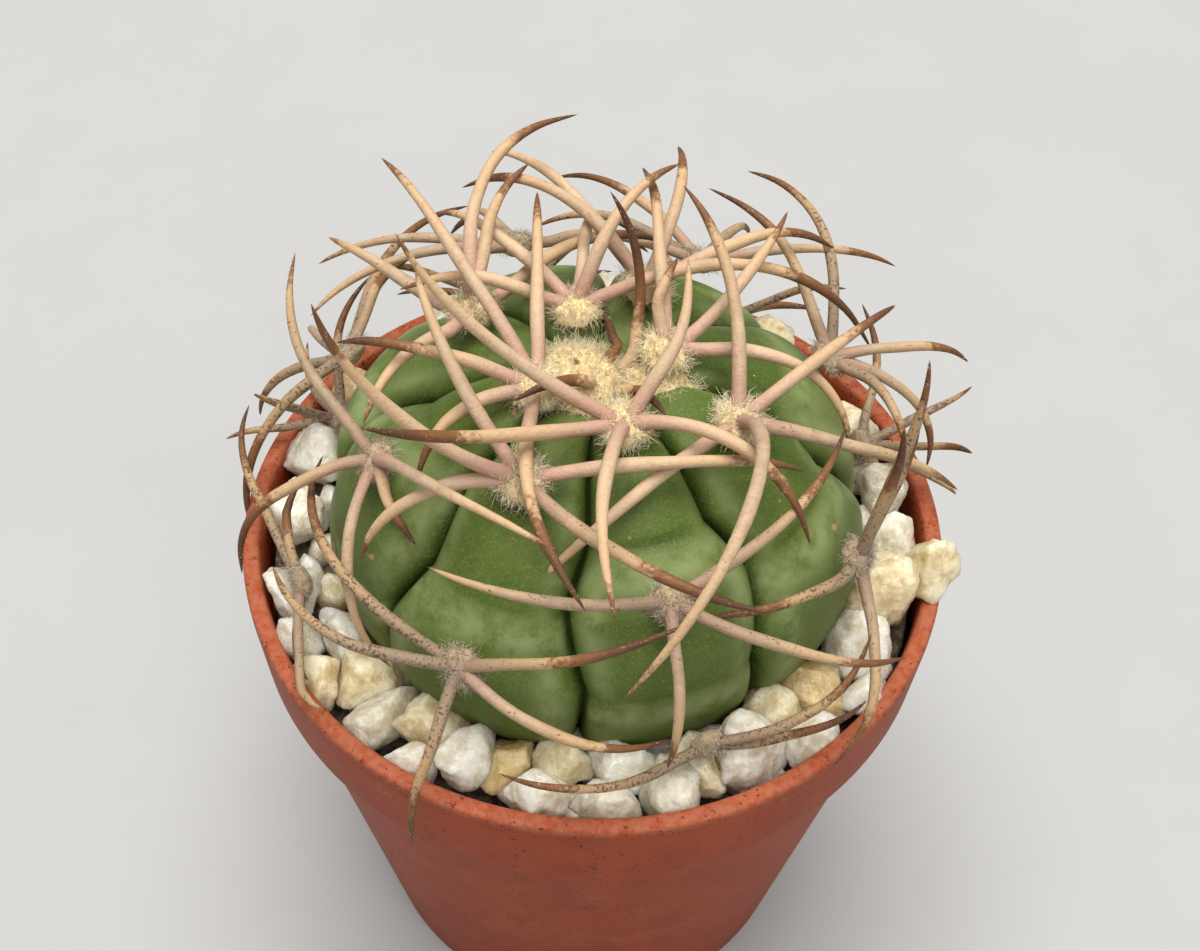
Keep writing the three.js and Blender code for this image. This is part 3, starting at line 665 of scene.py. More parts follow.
NOTCH_FOLD = 0.02
NOTCH_STRENGTH = (0.1, 1.0, 0.6, 0.5, 0.5, 0.5, 0.5, 0.5)  # above each rib's second pad
NOTCH_REACH = 0.75  # how far a notch reaches across its rib
NOTCH_ANGLE = 1.3
RIB_COLUMNS = 42
BODY_ROWS = 150
EVEN_SHARE = 0.35  # of the columns' spacing; the rest crowds them at the creases


# %% Ribs and lobes from the pads
def angles_of(point):
    """Azimuth and polar angle, in degrees, of a place on the globe."""
    offset = np.array(point) - BODY_CENTRE
    height = BODY_TOP if offset[2] > 0 else BODY_BOTTOM
    level = math.hypot(offset[0], offset[1]) / BODY_RADIUS
    azimuth, polar = math.atan2(offset[0], -offset[1]), math.atan2(level, offset[2] / height)
    return math.degrees(azimuth), math.degrees(polar)


def gap_between(a, b):
    """The angle between two azimuths."""
    return abs((a - b + 180) % 360 - 180)


ribs = []
for number in range(1, 9):
    tiers = [angles_of(clusters[f"spines_rib{number}_{tier}"][0])
             for tier in ("top", "middle", "low") if f"spines_rib{number}_{tier}" in clusters]
    polars = [polar for azimuth, polar in tiers]
    lobes = [min(FIRST_LOBE_START, polars[0] - 6)]
    lobes += [polar - LOBE_START_SHARE * (polar - above) for above, polar in zip(polars, polars[1:])]
    lobes.append(lobes[-1] + LOWEST_LOBE_LENGTH)
    ribs.append({"azimuth": tiers[1][0], "lobes": lobes, "notch": NOTCH_STRENGTH[number - 1]})
    print("rib", number, "azimuth", round(tiers[1][0]), "pads at", [round(p) for p in polars])


# %% Body rule
def soft_step(value, low, high):
    share = np.clip((value - low) / (high - low), 0, 1)
    return share * share * (3 - 2 * share)


def hump(value, middle, width):
    return np.exp(-((value - middle) / width) ** 2)


def chin(rib, polar):
    """At each polar angle: a rib's swelling, how near the fold above a lobe is, and its shoulder."""
    swell = np.zeros_like(polar)
    shoulder = np.zeros_like(polar)
    for start, end, full in zip(rib["lobes"], rib["lobes"][1:], LOBE_SWELL):
        inside = (polar >= start) & (polar < end)
        along = np.clip((polar - start) / (end - start), 0, 1)
        swell += inside * np.sin(math.pi * along ** 0.8) * full * min(1, (end - start) / FULL_CHIN_LENGTH)
        shoulder = np.maximum(shoulder, inside * hump(polar, start + 6, 5))
    return swell, rib["notch"] * hump(polar, rib["lobes"][1], NOTCH_ANGLE), shoulder


def skin_rule(share, polar, chins):
    """Distance of the skin as a share of the globe's, a mask for the painted shade in the creases, and the
    pale bloom, partly a painted highlight.

    Share is how far across its rib a point lies: 0 on the ridge and 1 in the crease.
    """
    swell, fold, shoulder = chins
    roundness = np.sqrt(1 - share ** RIB_POWER)
    below_crown = soft_step(polar, 3, 22)
    above_neck = 1 - soft_step(polar, 118, 150)
    in_crease = hump(share, 1, CREASE_WIDTH) * below_crown * above_neck
    in_notch = fold * np.clip(1 - (share / NOTCH_REACH) ** 2, 0, 1) * above_neck
    depth = GROOVE_DEPTH * (1 - GROOVE_EASE * soft_step(polar, 45, 90))
    swollen = CHIN_FLOOR * below_crown + (1 - CHIN_FLOOR) * swell
    distance = 1 - depth * (1 - roundness) * below_crown * above_neck
    distance += CHIN_SWELL * swollen * np.minimum(1, roundness * 1.6) * above_neck
    distance -= CROWN_DIP * hump(polar, 0, CROWN_DIP_ANGLE)
    distance -= CREASE_FOLD * in_crease + NOTCH_FOLD * in_notch
    # painted shade: darkens the skin in and beside the creases and in the notches
    near_crease = 0.45 * soft_step(share, 0.88, 1) * above_neck
    crease_shade = np.clip(np.maximum(in_crease, in_notch * 0.6) + near_crease, 0, 1)
    # the pale flanks and shoulders: a waxy bloom, partly a painted highlight where they face up
    side = hump(share, 0.74, 0.13) * (0.35 + 0.65 * swell)
    bloom_and_highlight = np.clip(0.1 + 0.9 * np.maximum(side, shoulder), 0, 1) * (1 - crease_shade) * above_neck
    bloom_and_highlight *= 0.35 + 0.65 * soft_step(polar, 25, 60)  # young skin has little bloom
    return distance, crease_shade, bloom_and_highlight


def skin_points(azimuth, polar, distance):
    height = np.where(polar < 90, BODY_TOP, BODY_BOTTOM)
    level = BODY_RADIUS * distance * np.sin(np.radians(polar))
    x, y = round_axis(level, np.radians(azimuth))
    z = height * distance * np.cos(np.radians(polar)) - NECK_DROP * soft_step(polar, 135, 180)
    return np.stack([x, y, z], -1) + BODY_CENTRE


# %% Body
polar_steps = np.linspace(0.4, 179, BODY_ROWS)[:, None]
chins = [chin(rib, polar_steps) for rib in ribs]
evenly = np.linspace(-1, 1, RIB_COLUMNS, endpoint=False)
across = EVEN_SHARE * evenly + (1 - EVEN_SHARE) * np.sin(math.pi / 2 * evenly)
blocks = []
for i, rib in enumerate(ribs):
    halves = []
    for j in (i - 1, (i + 1) % len(ribs)):
        gap = gap_between(ribs[j]["azimuth"], rib["azimuth"])
        halves.append(gap * (0.5 + CREASE_WIND * (chins[i][0] - chins[j][0]) / 2))
    azimuth = rib["azimuth"] + across * np.where(across < 0, halves[0], halves[1])
    distance, crease_shade, bloom_and_highlight = skin_rule(np.abs(across), polar_steps, chins[i])
    blocks.append((skin_points(azimuth, polar_steps, distance), crease_shade, bloom_and_highlight))
body_points, crease_shade, bloom_and_highlight = (np.concatenate(arrays, 1) for arrays in zip(*blocks))
body_faces = capped_faces(BODY_ROWS, RIB_COLUMNS * len(ribs))
body_values = {"crease_shade": crease_shade.ravel(), "bloom_and_highlight": bloom_and_highlight.ravel()}
body = add_object("cactus_globe", body_points.reshape(-1, 3), body_faces, [cactus_skin], body_values)
turn_faces_out(body)
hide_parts("cactus_body")
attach(body, "root")
print("body faces:", len(body.data.polygons))

# %% [markdown]
# ## Spine horn
#
# A spine is hard, dry horn. A young one is pinkish at the foot, cream along its length, golden
# and then brown at the point, and an old one has weathered to grey-brown with dark specks. The
# mesh carries along (0 at the foot, 1 at the tip), age (0 in the crown, 1 at the soil) and tint
# (how early a spine turns brown), so one finish serves every spine. A little light passes
# through horn, which subsurface scattering gives without the cost of real glass.

# %% Spine finish
HORN_FOOT = (0.46, 0.265, 0.20)
HORN_CREAM = (0.585, 0.42, 0.275)
HORN_OLD = (0.25, 0.19, 0.125)
HORN_TAN = (0.38, 0.21, 0.12)
HORN_GOLD = (0.54, 0.33, 0.145)
HORN_BROWN = (0.19, 0.08, 0.03)
HORN_TIP = (0.10, 0.042, 0.02)
HORN_SPECK = (0.07, 0.03, 0.018)


def horn_recipe(tree):
    along = carried(tree, "along")
    age = carried(tree, "age")
    streak = plus(tree, lumps_of(tree, 1.6, 4, 0.65), -0.5)
    flake = plus(tree, lumps_of(tree, 0.5, 4, 0.7), -0.5)
    own = times(tree, plus(tree, carried(tree, "tint"), -0.5), 0.4)
    late = plus(tree, plus(tree, along, own), times(tree, streak, 0.3))
    ragged = plus(tree, late, times(tree, flake, 0.3))
    colour = layers(
        tree, HORN_FOOT,
        (HORN_CREAM, fade(tree, along, 0.0, 0.4)),
        (HORN_OLD, fade(tree, plus(tree, age, times(tree, streak, 0.7)), 0.1, 0.95)),
        (HORN_TAN, fade(tree, flake, -0.02, 0.16), plus(tree, 0.3, times(tree, age, 0.5))),
        (HORN_GOLD, fade(tree, late, 0.25, 0.8), 0.55),
        (HORN_BROWN, fade(tree, ragged, 0.72, 0.84)),
        (HORN_TIP, fade(tree, late, 0.86, 1.08)),
        (HORN_SPECK, specks(tree, 0.28, plus(tree, 0.05, times(tree, age, 0.65))), 0.75),
        (HORN_CREAM, specks(tree, 0.2, 0.45), fade(tree, along, 0.5, 1.2)),
    )
    return {"Base Color": colour, "Normal": grain_bump(tree, 0.25, 0.08, 0.8)}


spine_horn = new_finish("spine_horn", horn_recipe, Roughness=0.55, Specular_IOR_Level=0.3,
                        Subsurface_Weight=0.15, Subsurface_Radius=(1.0, 0.6, 0.35), Subsurface_Scale=0.5 * MM)

# %% [markdown]
# ## Felt
#
# Every pad is a cushion of felt: hundreds of curly hairs matted over a short, thick undercoat.
# Blender's own hair would be lost when the model is exported, so each hair is a real three-sided
# tube. Hairs in the crown are straw-coloured and fluffy, and old ones are grey, short and
# tangled. Each hair carries its own tint, and the cushion under them has tint -1.

# %% Felt finish
WOOL_STRAW = (1.0, 0.83, 0.50)
WOOL_CREAM = (1.0, 0.96, 0.74)
FELT_GREY = (0.46, 0.36, 0.26)
FELT_PALE = (0.84, 0.74, 0.60)
FELT_SHADE = (0.88, 0.82, 0.73)  # dims the cushion under the hairs
FELT_DUST = (0.20, 0.15, 0.10)
CUSHION_TINT = -1.0


def felt_recipe(tree):
    age = carried(tree, "age")
    tint = carried(tree, "tint")
    young = mix_colours(tree, tint, WOOL_STRAW, WOOL_CREAM)
    old = mix_colours(tree, tint, FELT_GREY, FELT_PALE)
    colour = mix_colours(tree, fade(tree, age, 0.0, 0.7), young, old)
    colour = mix_colours(tree, fade(tree, tint, 0.0, CUSHION_TINT), colour, FELT_SHADE, "MULTIPLY")
    colour = layers(tree, colour, (FELT_DUST, specks(tree, 0.5, 0.4, 0.1), fade(tree, age, 0.1, 1.2)))
    return {"Base Color": colour, "Normal": grain_bump(tree, 0.15, 0.035, 0.6)}


plant_felt = new_finish("plant_felt", felt_recipe, Roughness=0.9, Specular_IOR_Level=0.05, Sheen_Weight=0.1)

# %% [markdown]
# ## Spines
#
# A fine spine is a tube whose middle line passes smoothly through the points read from the
# frame. The tube stays thick for most of its length and closes to a point in its last third. A
# curve object with a bevel could do it, but its taper is hard to control, so the rings are placed
# directly. Each spine wavers a little, as horn does that grew a ring at a time.

# %% Tubes
SPINE_SIDES = 10
SPINE_RINGS = 38
SPINE_FOOT_FLARE = 0.12
SPINE_TAPER = 0.24  # of its radius, lost evenly from foot to tip
SPINE_HOOK = 0.085  # how far the tip curls in, of the spine's length
SPINE_SWAY = 0.12 * MM
SPINE_RIPPLE = 0.05
CURVE_STEPS = 16  # between two given points


def smooth_line(points, count):
    """Evenly spaced points on a smooth curve through the given ones, and its length."""
    given = np.array([np.array(p) for p in points])
    padded = np.vstack([2 * given[0] - given[1], given, 2 * given[-1] - given[-2]])
    fine = []
    for a, b, c, d in zip(padded, padded[1:], padded[2:], padded[3:]):
        for t in np.linspace(0, 1, CURVE_STEPS, endpoint=False):
            fine.append(0.5 * (2 * b + (c - a) * t + (2 * a - 5 * b + 4 * c - d) * t ** 2
                               + (3 * b - a - 3 * c + d) * t ** 3))
    fine = np.array(fine + [given[-1]])
    run = np.concatenate([[0], np.cumsum(np.linalg.norm(np.diff(fine, axis=0), axis=1))])
    even = np.linspace(0, run[-1], count)
    return np.stack([np.interp(even, run, fine[:, axis]) for axis in range(3)], -1), run[-1]


def tube(line, radii, sides):
    """Rings round a line, with a closed foot and a closed tip."""
    ahead = unit(np.gradient(line, axis=0))
    side = np.cross(ahead[0], (0.31, 0.57, 0.76))
    rings = []
    turn = full_turn(sides)
    for place, direction, radius in zip(line[:-1], ahead, radii):
        side = side - direction * np.dot(side, direction)
        side = side / np.linalg.norm(side)
        other = np.cross(direction, side)
        rings.append(place + radius * (np.cos(turn)[:, None] * side + np.sin(turn)[:, None] * other))
    return np.vstack(rings + [line[0], line[-1]]), pointed_faces(len(rings), sides)


def fine_spine(pad, arm, full, age, tint, rng):
    """A spine on the line of a solid one. Full is its radius at the foot."""
    line, length = smooth_line([pad] + arm, SPINE_RINGS)
    along = np.linspace(0, 1, SPINE_RINGS)
    radii = full * (1 - SPINE_TAPER * along) * np.clip(1 - along ** 4, 0, 1) ** 0.65
    radii *= 1 + SPINE_FOOT_FLARE * hump(along * length, 0, 1.5 * MM)
    radii *= 1 + SPINE_RIPPLE * np.sin(along * length / (1.7 * MM) + rng.uniform(0, 6))
    sway = np.stack([np.sin(along * rng.uniform(5, 9) + rng.uniform(0, 6)) for axis in range(3)], -1)
    sway = (sway - sway[0]) * SPINE_SWAY * soft_step(along, 0, 0.5)[:, None]
    inwards = unit(unit(line[0] + line[-1] - 2 * line[SPINE_RINGS // 2]) + 0.4 * unit(BODY_CENTRE - line[-1]))
    hook = inwards * (SPINE_HOOK * length * np.clip((along - 0.5) / 0.5, 0, 1) ** 2)[:, None]
    points, faces = tube(line + sway + hook, radii, SPINE_SIDES)
    shares = np.concatenate([np.repeat(along[:-1], SPINE_SIDES), [0, 1]])
    return points, faces, {"along": shares, "age": age, "tint": tint}


# %% Hairs
HAIR_RADIUS = 0.024 * MM
HAIR_CURL = 0.9
HAIR_TANGLE = 0.9  # how far the hairs lean away from straight up
HAIR_THINNING = 0.7  # of its radius, lost from root to tip
HAIR_SIDES = 3


def hairs(roots, directions, length, radius, ring_count, age, rng):
    """Many hairs at once. Length is in metres, for each hair. Two rings make them straight."""
    count = len(roots)
    place = roots.copy()
    heading = unit(directions)
    step = (length / (ring_count - 1))[:, None]
    turn = np.arange(HAIR_SIDES) * 2 * math.pi / HAIR_SIDES
    bend = rng.normal(size=(count, 3)) * HAIR_CURL
    rings = []
    for ring in range(ring_count):
        side = unit(np.cross(heading, rng.normal(size=3)))
        other = np.cross(heading, side)
        thin = radius * (1 - HAIR_THINNING * ring / (ring_count - 1))
        around = np.cos(turn)[None, :, None] * side[:, None] + np.sin(turn)[None, :, None] * other[:, None]
        rings.append(place[:, None] + around * thin)
        place = place + heading * step
        heading = unit(heading + bend + rng.normal(size=(count, 3)) * HAIR_CURL * 0.6)
    points = np.stack(rings, 1).reshape(-1, 3)
    starts = np.arange(count) * ring_count * HAIR_SIDES
    faces = (starts[:, None, None] + ring_faces(ring_count, HAIR_SIDES)[None]).reshape(-1, 4).tolist()
    faces += np.stack([starts + 2, starts + 1, starts], -1).tolist()
    ends = starts + (ring_count - 1) * HAIR_SIDES
    faces += np.stack([ends, ends + 1, ends + 2], -1).tolist()
    tint = np.repeat(rng.uniform(0, 1, count), ring_count * HAIR_SIDES)
    return points, faces, {"along": 0.0, "age": age, "tint": tint}


# %% Cushions
LUMP_HEIGHT = 0.15
LUMPS = 1.6  # about how many there are from the middle of a cushion to its edge
CURL_SIZE = 0.3 * MM
CURL_DEPTH = 0.07 * MM  # the matted curls that make a cushion's surface uneven
POLE_GAP = 0.06


def cushion(middle, axes, half, age, seed, columns, rows):
    """A lumpy closed dome of felt under the hairs. Axes are right, up and out."""
    lean = np.linspace(POLE_GAP, math.pi - POLE_GAP, rows)
    lean, turn = np.meshgrid(lean, full_turn(columns), indexing="ij")
    ball = as_points(np.sin(lean) * np.cos(turn), np.sin(lean) * np.sin(turn), np.cos(lean))
    lumps = np.array([noise.fractal(Vector(v * LUMPS) + Vector((seed, 0, 0)), 1.0, 2.0, 2) for v in ball])
    curls = np.array([noise.noise(Vector(v * half / CURL_SIZE) + Vector((0, seed, 0))) for v in ball])
    local = ball * (1 + LUMP_HEIGHT * lumps)[:, None] * half + ball * (CURL_DEPTH * curls)[:, None]
    values = {"along": 0.0, "age": age, "tint": CUSHION_TINT}
    return middle + local @ axes, capped_faces(rows, columns), values


# %% [markdown]
# ## Pads and spines together
#
# A pad and its spines grow as one piece, so each cluster is one object that stands for one
# solid of the frame: a cushion of felt, its hairs, and the spines that come out of it. Old pads
# low on the plant have lost most of their wool, and the youngest are still fluffy.

# %% Tufts
COATS = ((1.0, 1.0, 3), (0.45, 1.2, 2))  # length, thickness and rings of long hairs and undercoat
ROOT_DEPTH = 0.1 * MM


def hair_roots(points, middle, axes, half, count, rng):
    """Roots spread over the upper side of a cushion, and directions that stand off it."""
    local = (points - middle) @ axes.T / half
    upper = np.flatnonzero(local[:, 2] > -0.3)
    weight = np.linalg.norm(local[upper, :2], axis=1)
    picked = rng.choice(upper, count, p=weight / weight.sum())
    outward = unit((local[picked] / half) @ axes)
    roots = points[picked] - ROOT_DEPTH * outward + rng.normal(size=(count, 3)) * ROOT_DEPTH
    return roots, outward + rng.normal(size=(count, 3)) * HAIR_TANGLE


def tuft(middle, axes, half, age, count, length, rng, columns=64, rows=24):
    """A cushion with long curly hairs and as many short straight ones that hide its surface."""
    points, faces, values = cushion(middle, axes, half, age, rng.uniform(0, 50), columns, rows)
    parts = [(points, faces, values, 1)]
    for reach, thickness, rings in COATS:
        roots, directions = hair_roots(points, middle, axes, half, count, rng)
        lengths = length * reach * rng.uniform(0.3, 1.1, count)
        parts.append((*hairs(roots, directions, lengths, thickness * HAIR_RADIUS, rings, age, rng), 1))
    return parts


# %% Clusters
AGE_AT = ((14, 30, 55, 95), (0.0, 0.25, 0.6, 0.95))  # a pad's age at polar angles from the crown
TIERS = {  # a pad's half sizes, its hairs and their length, its spines' radius and reach of tint
    "top": ((2.0, 1.9, 1.3), 900, 1.6, 0.64, 1.0),  # sizes are in millimetres
    "middle": ((1.65, 1.65, 1.0), 480, 1.35, 0.55, 1.2),
    "low": ((1.5, 1.5, 0.9), 280, 1.2, 0.5, 1.5),
}
SPINE_DEPTH = 0.15  # how far the pad's middle lies below the spines' feet, of the pad's height
NAME_SEED = 7


def pad_axes(pad):
    """Right, up and out at a pad, from the slope of the globe there."""
    offset = np.array(pad) - BODY_CENTRE
    height = BODY_TOP if offset[2] > 0 else BODY_BOTTOM
    out = unit(offset / np.array((BODY_RADIUS, BODY_RADIUS, height)) ** 2)
    right = unit(np.cross((0, 0, 1), out))
    return np.array((right, np.cross(out, right), out))


def cluster_parts(name, pad, arms):
    rng = np.random.default_rng(sum(name.encode()) * NAME_SEED)
    half, count, length, radius, tint_reach = TIERS[name.split("_")[2]]
    half = np.array(half) * MM
    axes = pad_axes(pad)
    age = float(np.interp(angles_of(pad)[1], *AGE_AT))
    middle = np.array(pad) - axes[2] * half[2] * SPINE_DEPTH
    parts = tuft(middle, axes, half, age, count, length * MM, rng)
    for arm in arms:
        own_age = np.clip(age + rng.uniform(-0.25, 0.3), 0, 1)
        tint = rng.uniform(0, tint_reach)
        parts.append((*fine_spine(pad, arm, radius * MM, own_age, tint, rng), 0))
    return parts


for name, (pad, arms) in clusters.items():
    if name == "crown_wool":
        continue
    cluster = add_joined(name + "_grown", cluster_parts(name, pad, arms), [spine_horn, plant_felt])
    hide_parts(name)
    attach(cluster, "root")
print("last cluster's faces:", len(cluster.data.polygons))

# %% [markdown]
# ## Crown wool
#
# The growing point is hidden under dense mounds of straw-coloured wool, with the four youngest
# spines coming through it. It is the same felt as on the pads, wider, longer and much denser.

# %% Crown
CROWN_TUFTS = [  # middle, half sizes and number of hairs, in millimetres
    ((-1.9, -1.1, 73.7), (4.0, 4.1, 3.4), 3600),
    ((4.9, -0.6, 73.4), (3.5, 3.2, 2.6), 2200),
    ((1.0, 4.2, 72.4), (3.4, 2.4, 1.8), 700),
]
CROWN_HAIR_LENGTH = 2.0 * MM
CROWN_SPINE_RADIUS = 0.6 * MM
CROWN_SPINE_AGE = 0.1
BROWN_TINT = 1.3  # a spine that has just come out is brown for most of its length
crown_arms = clusters["crown_wool"][1]
crown_rng = np.random.default_rng(70)
parts = []
for middle, half, count in CROWN_TUFTS:
    place, size = np.array(middle) * MM, np.array(half) * MM
    parts += tuft(place, np.eye(3), size, 0.0, count, CROWN_HAIR_LENGTH, crown_rng, 100, 42)
foot = Vector(CROWN_TUFTS[0][0]) * MM
for arm in crown_arms:
    parts.append((*fine_spine(foot, arm, CROWN_SPINE_RADIUS, CROWN_SPINE_AGE, BROWN_TINT, crown_rng), 0))
crown = add_joined("crown_wool_grown", parts, [spine_horn, plant_felt])
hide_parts("crown_wool")
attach(crown, "root")
print("crown faces:", len(crown.data.polygons), "crown spines:", len(crown_arms))

# %% [markdown]
# ## Quartz
#
# The top dressing is crushed quartz: milky white, cream, amber and grey, each stone its own
# shade. Quartz is a little translucent, so light entering one face softens the next. Iron leaves
# tan stains in its cracks, and a few dark grains stick to it. One recipe makes all four kinds.

# %% Quartz finish
QUARTZ = {  # the pale and the deep colour of each kind
    "milky": ((0.92, 0.86, 0.73), (0.60, 0.53, 0.40)),
    "cream": ((0.84, 0.72, 0.48), (0.55, 0.43, 0.24)),
    "amber": ((0.70, 0.52, 0.27), (0.45, 0.31, 0.13)),
    "grey": ((0.76, 0.70, 0.57), (0.48, 0.43, 0.32)),
}
QUARTZ_STAIN = (0.36, 0.22, 0.07)
QUARTZ_DIRT = (0.05, 0.04, 0.03)


def quartz_finish(kind, pale, deep):
    def recipe(tree):
        colour = layers(
            tree, mottle(tree, 1.8, pale, deep, 0.55),
            (QUARTZ_STAIN, fade(tree, lumps_of(tree, 2.8, 5, 0.65, 0.4), 0.58, 0.75), 0.5),
            (QUARTZ_DIRT, specks(tree, 0.5, 0.14, 0.06), 0.8),
        )
        roughness = fade(tree, lumps_of(tree, 0.9, 3), 0.15, 1.4)
        return {"Base Color": colour, "Roughness": roughness, "Normal": grain_bump(tree, 0.4, 0.2, 1.2)}

    return new_finish("quartz_" + kind, recipe, Specular_IOR_Level=0.6, Subsurface_Weight=0.85,
                      Subsurface_Radius=(1.0, 0.95, 0.8), Subsurface_Scale=4.5 * MM)


quartz = [quartz_finish(kind, *colours) for kind, colours in QUARTZ.items()]

# %% [markdown]
# ## Stones
#
# Crushed quartz breaks along flat faces whose edges then wear round. Such a stone is what is left
# of a lump after a dozen planes have cut it. Blending the planes' distances with a high power
# gives flat faces with soft edges in one formula, and the reach of each plane is measured on
# the stone's own solid in the frame, so it fills the same room. Finer noise then roughens it.

# %% Stone shape
STONE_SOFTNESS = 24.0  # a larger power leaves sharper edges
STONE_PLANES = 13
STONE_SPREAD = 1.06  # loose stones are pressed against one another a little
STONE_SWELL = 1.035
STONE_WEAR = 0.065
STONE_CHIPS = 0.17


def ball_mesh(steps):
    shape = bmesh.new()
    bmesh.ops.create_icosphere(shape, subdivisions=steps, radius=1)
    points = np.array([v.co for v in shape.verts])
    faces = np.array([[v.index for v in face.verts] for face in shape.faces])
    shape.free()
    return points, faces


EVEN_DIRECTIONS = ball_mesh(1)[0]
SMALL_BALL, MIDDLE_BALL, BIG_BALL = (ball_mesh(steps) for steps in (3, 4, 5))
print("faces on the three balls:", [len(ball[1]) for ball in (SMALL_BALL, MIDDLE_BALL, BIG_BALL)])


def stone_points(room, ball, seed, rough=1.0):
    """A stone that fills the room taken by some points."""
    rng = np.random.default_rng(seed)
    middle = (room.max(0) + room.min(0)) / 2
    normals = unit(rng.normal(size=(STONE_PLANES, 3)))
    reach = ((room - middle) @ normals.T).max(0) * rng.uniform(0.68, 0.99, STONE_PLANES)
    normals = np.vstack([normals, EVEN_DIRECTIONS])
    reach = np.concatenate([reach, ((room - middle) @ EVEN_DIRECTIONS.T).max(0) * 1.02])
    facing = np.maximum(ball @ normals.T, 0) / reach
    distance = (facing ** STONE_SOFTNESS).sum(1) ** (-1 / STONE_SOFTNESS)
    shift = Vector(rng.uniform(0, 90, 3))
    points = ball * distance[:, None]
    wear = np.array([noise.fractal(Vector(p / (1.4 * MM)) + shift, 0.7, 2.2, 5) for p in points])
    chips = np.array([abs(noise.noise(Vector(p / (1.9 * MM)) - shift)) for p in points])
    return middle + points * (STONE_SWELL + STONE_WEAR * rough * wear - STONE_CHIPS * chips)[:, None]


# %% Loose stones
STONE_KINDS = [0, 0, 1, 1, 0, 3, 1, 0, 0, 2, 0, 1, 3, 0, 3, 1, 0, 0, 1, 2]
FIRST_STONE_SEED = 11
stone_names = sorted(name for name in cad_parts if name.startswith("stone_"))
for number, name in enumerate(stone_names):
    room = np.array([v.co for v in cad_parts[name].data.vertices])
    room = room.mean(0) + (room - room.mean(0)) * STONE_SPREAD
    points = stone_points(room, BIG_BALL[0], number + FIRST_STONE_SEED)
    kind = STONE_KINDS[number % len(STONE_KINDS)]
    stone = add_object(name + "_quartz", points, BIG_BALL[1], [quartz[kind]])
    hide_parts(name)
    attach(stone, "root")
print("loose stones:", len(stone_names))

# %% [markdown]
# ## Packed gravel
#
# Between and under the loose stones lies the rest of the dressing, packed down and dusty. It is
# one heap of smaller stones, each set down where no earlier one is too near, on a dark gritty
# layer that shows only in the chinks. Scattering with a physics run would settle them more
# truly, but it would also let them roll over the loose stones' places.

# %% Grit under the gravel
bed_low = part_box("gravel_bed")[0]
BED_FRONT = 51.5 * MM  # the packed gravel's height at the front
BED_RISE = 2.5 * MM  # how much higher it is at the back
GRIT_SINK = 1.3 * MM
GRIT_LUMPS = 1.5 * MM
GRIT_ROWS, GRIT_COLUMNS = 26, 240
GRIT_DARK = (0.035, 0.026, 0.017)
GRIT_TAN = (0.16, 0.12, 0.075)


def grit_recipe(tree):
    colour = mottle(tree, 1.0, GRIT_DARK, GRIT_TAN, 0.5)
    return {"Base Color": colour, "Normal": grain_bump(tree, 0.5, 0.3, 1.0)}


def bed_height(azimuth):
    return BED_FRONT + BED_RISE * (1 - np.cos(np.radians(azimuth))) / 2


grit_finish = new_finish("grit", grit_recipe, Roughness=0.95)
turn = np.linspace(-180, 180, GRIT_COLUMNS, endpoint=False)
reach, turn = np.meshgrid(np.linspace(0.5, 1, GRIT_ROWS), turn, indexing="ij")
x, y = round_axis((MOUTH_RADIUS - 0.15 * MM) * reach, np.radians(turn))
flat = as_points(x, y, 0 * x)
lumps = np.array([noise.fractal(Vector(place) / GRIT_LUMPS, 0.8, 2.0, 4) for place in flat])
top = bed_height(turn) - GRIT_SINK + lumps.reshape(x.shape) * 0.5 * MM
top[[0, -1]] = bed_low.z
grit = add_object("gravel_grit", as_points(x, y, top), capped_faces(GRIT_ROWS, GRIT_COLUMNS), [grit_finish])
turn_faces_out(grit)
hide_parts("gravel_bed")
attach(grit, "root")

# %% Packed stones
PACKED_TRIES = 2600
PACKED_SIZE = (1.2, 2.5)  # half their width, in millimetres
PACKED_REACH = (19, 30.2)  # how far from the axis they lie, in millimetres
PACKED_KINDS = [0, 0, 0, 1, 1, 2, 3]
SMALL_STONE = 1.7 * MM  # up to this size a stone is drawn with fewer faces
LEAST_SPACE = 0.8  # between two stones, of their sizes
LOOSE_SIZE = 1.5 * MM
packed_rng = np.random.default_rng(8)
loose = [(np.array(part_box(n)[0]) + np.array(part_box(n)[1])) / 2 for n in stone_names]
taken = [(*place[:2], LOOSE_SIZE) for place in loose]
parts = []
for attempt in range(PACKED_TRIES):
    azimuth = packed_rng.uniform(-180, 180)
    size = packed_rng.uniform(*PACKED_SIZE) * MM
    distance = packed_rng.uniform(*PACKED_REACH) * MM
    kind = int(packed_rng.choice(PACKED_KINDS))
    x, y = round_axis(distance, math.radians(azimuth))
    if distance + size > MOUTH_RADIUS - 0.1 * MM:
        continue
    if any(math.hypot(x - a, y - b) < (size + c) * LEAST_SPACE for a, b, c in taken):
        continue
    taken.append((x, y, size))
    half = size * packed_rng.uniform(0.75, 1.15, 3)
    turned = np.array(Matrix.Rotation(packed_rng.uniform(0, math.pi), 3, "Z"))
    middle = np.array((x, y, bed_height(azimuth) - 0.25 * half[2] + packed_rng.uniform(-0.5, 0.4) * MM))
    room = middle + (unit(packed_rng.normal(size=(60, 3))) * half) @ turned
    ball, faces = SMALL_BALL if size < SMALL_STONE else MIDDLE_BALL
    parts.append((stone_points(room, ball, attempt, 1.2), faces, {}, kind))
packed = add_joined("gravel_packed", parts, quartz)
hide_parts("gravel_bed")
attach(packed, "root")
print("packed stones:", len(parts))

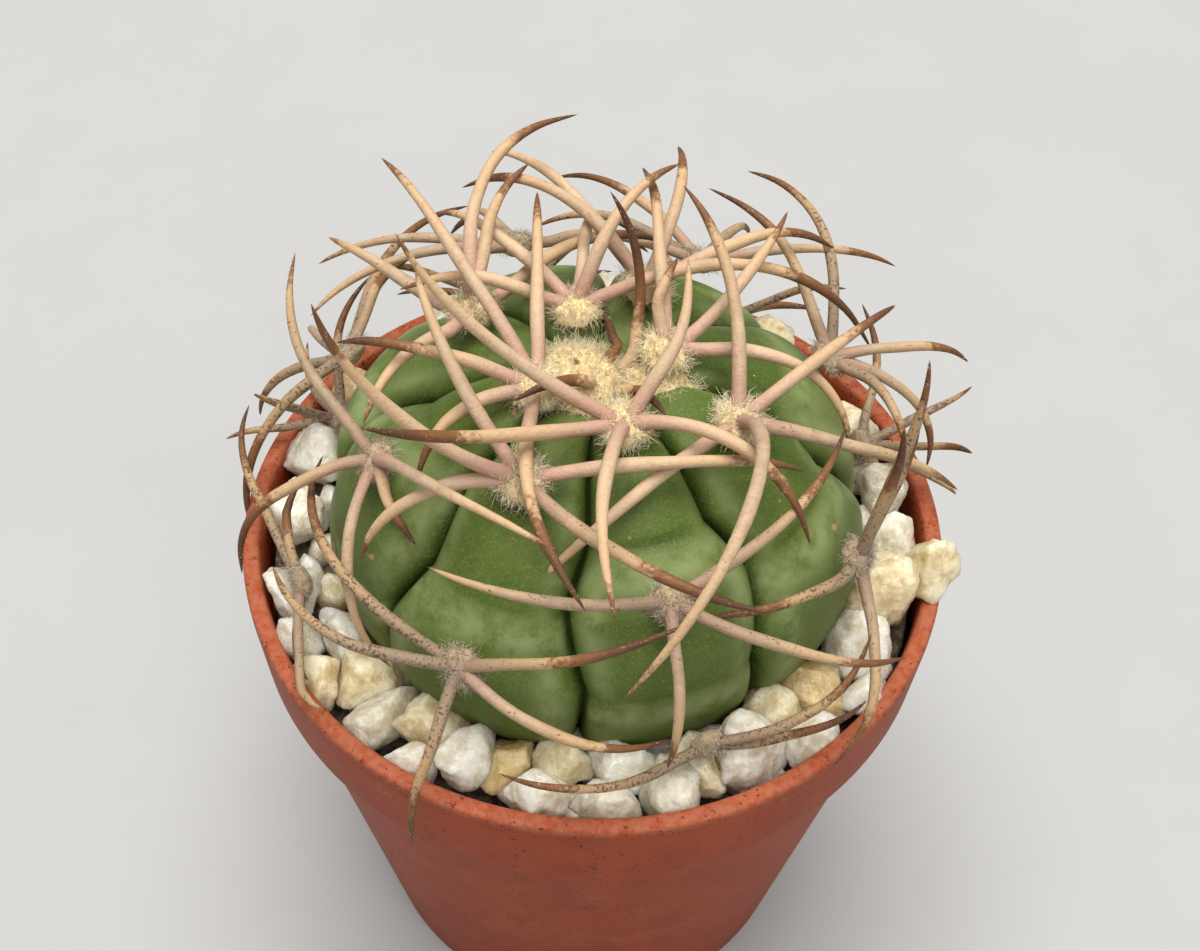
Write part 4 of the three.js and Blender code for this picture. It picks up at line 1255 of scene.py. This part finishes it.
# %% [markdown]
# ## Floor and light
#
# The plant stands on a plain pale sheet of paper. Soft daylight from a large window above keeps
# shadows gentle, so the light is one wide lamp over the plant, a weaker one from the front, and
# an even pale sky that fills the creases. Both lamps are far off, so that the floor stays even.

# %% Floor
FLOOR_PALE = (0.40, 0.40, 0.395)
FLOOR_SHADE = tuple(c * 0.97 for c in FLOOR_PALE)
FLOOR_HALF = 3


def floor_recipe(tree):
    return {"Base Color": mottle(tree, 30, FLOOR_PALE, FLOOR_SHADE, 0.2)}


floor_finish = new_finish("floor_paper", floor_recipe, Roughness=0.85)
corners = [(x * FLOOR_HALF, y * FLOOR_HALF, 0) for x, y in ((-1, -1), (1, -1), (1, 1), (-1, 1))]
floor = add_object("floor", corners, [(0, 1, 2, 3)], [floor_finish])
floor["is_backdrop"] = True

# %% Lamps and sky
PLANT_MIDDLE = Vector((0, 0, 0.05))
SKY_COLOUR = (0.98, 0.99, 1.0, 1)
SKY_STRENGTH = 0.32


def add_lamp(name, place, size, watts, colour):
    lamp = bpy.data.lights.new(name, "AREA")
    lamp.shape = "DISK"
    lamp.size = size
    lamp.energy = watts
    lamp.color = colour
    made = add_to_scene(name, lamp)
    made.location = place
    made.rotation_euler = (PLANT_MIDDLE - Vector(place)).to_track_quat("-Z", "Y").to_euler()
    print(name, "gives", watts, "watts")


add_lamp("window_above", (-0.08, 0.24, 2.96), 2.4, 125, (1.0, 0.985, 0.95))
add_lamp("front_fill", (0.48, -1.68, 2.48), 1.6, 31, (1.0, 0.99, 0.97))
world = bpy.data.worlds.new("sky")
world.use_nodes = True
world.node_tree.nodes["Background"].inputs["Color"].default_value = SKY_COLOUR
world.node_tree.nodes["Background"].inputs["Strength"].default_value = SKY_STRENGTH
bpy.context.scene.world = world
bpy.context.scene.view_settings.view_transform = "Standard"

# %% [markdown]
# ## The sizes
#
# The box of the solids and the box of the finished model are printed side by side.

# %% Sizes
visual_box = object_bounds()
boxes = {"cad": [list(corner) for corner in cad_box], "visual": [list(corner) for corner in visual_box]}
print("box of the solids, then of the model, in millimetres:")
for corners in boxes.values():
    print([[round(value / MM, 1) for value in corner] for corner in corners])
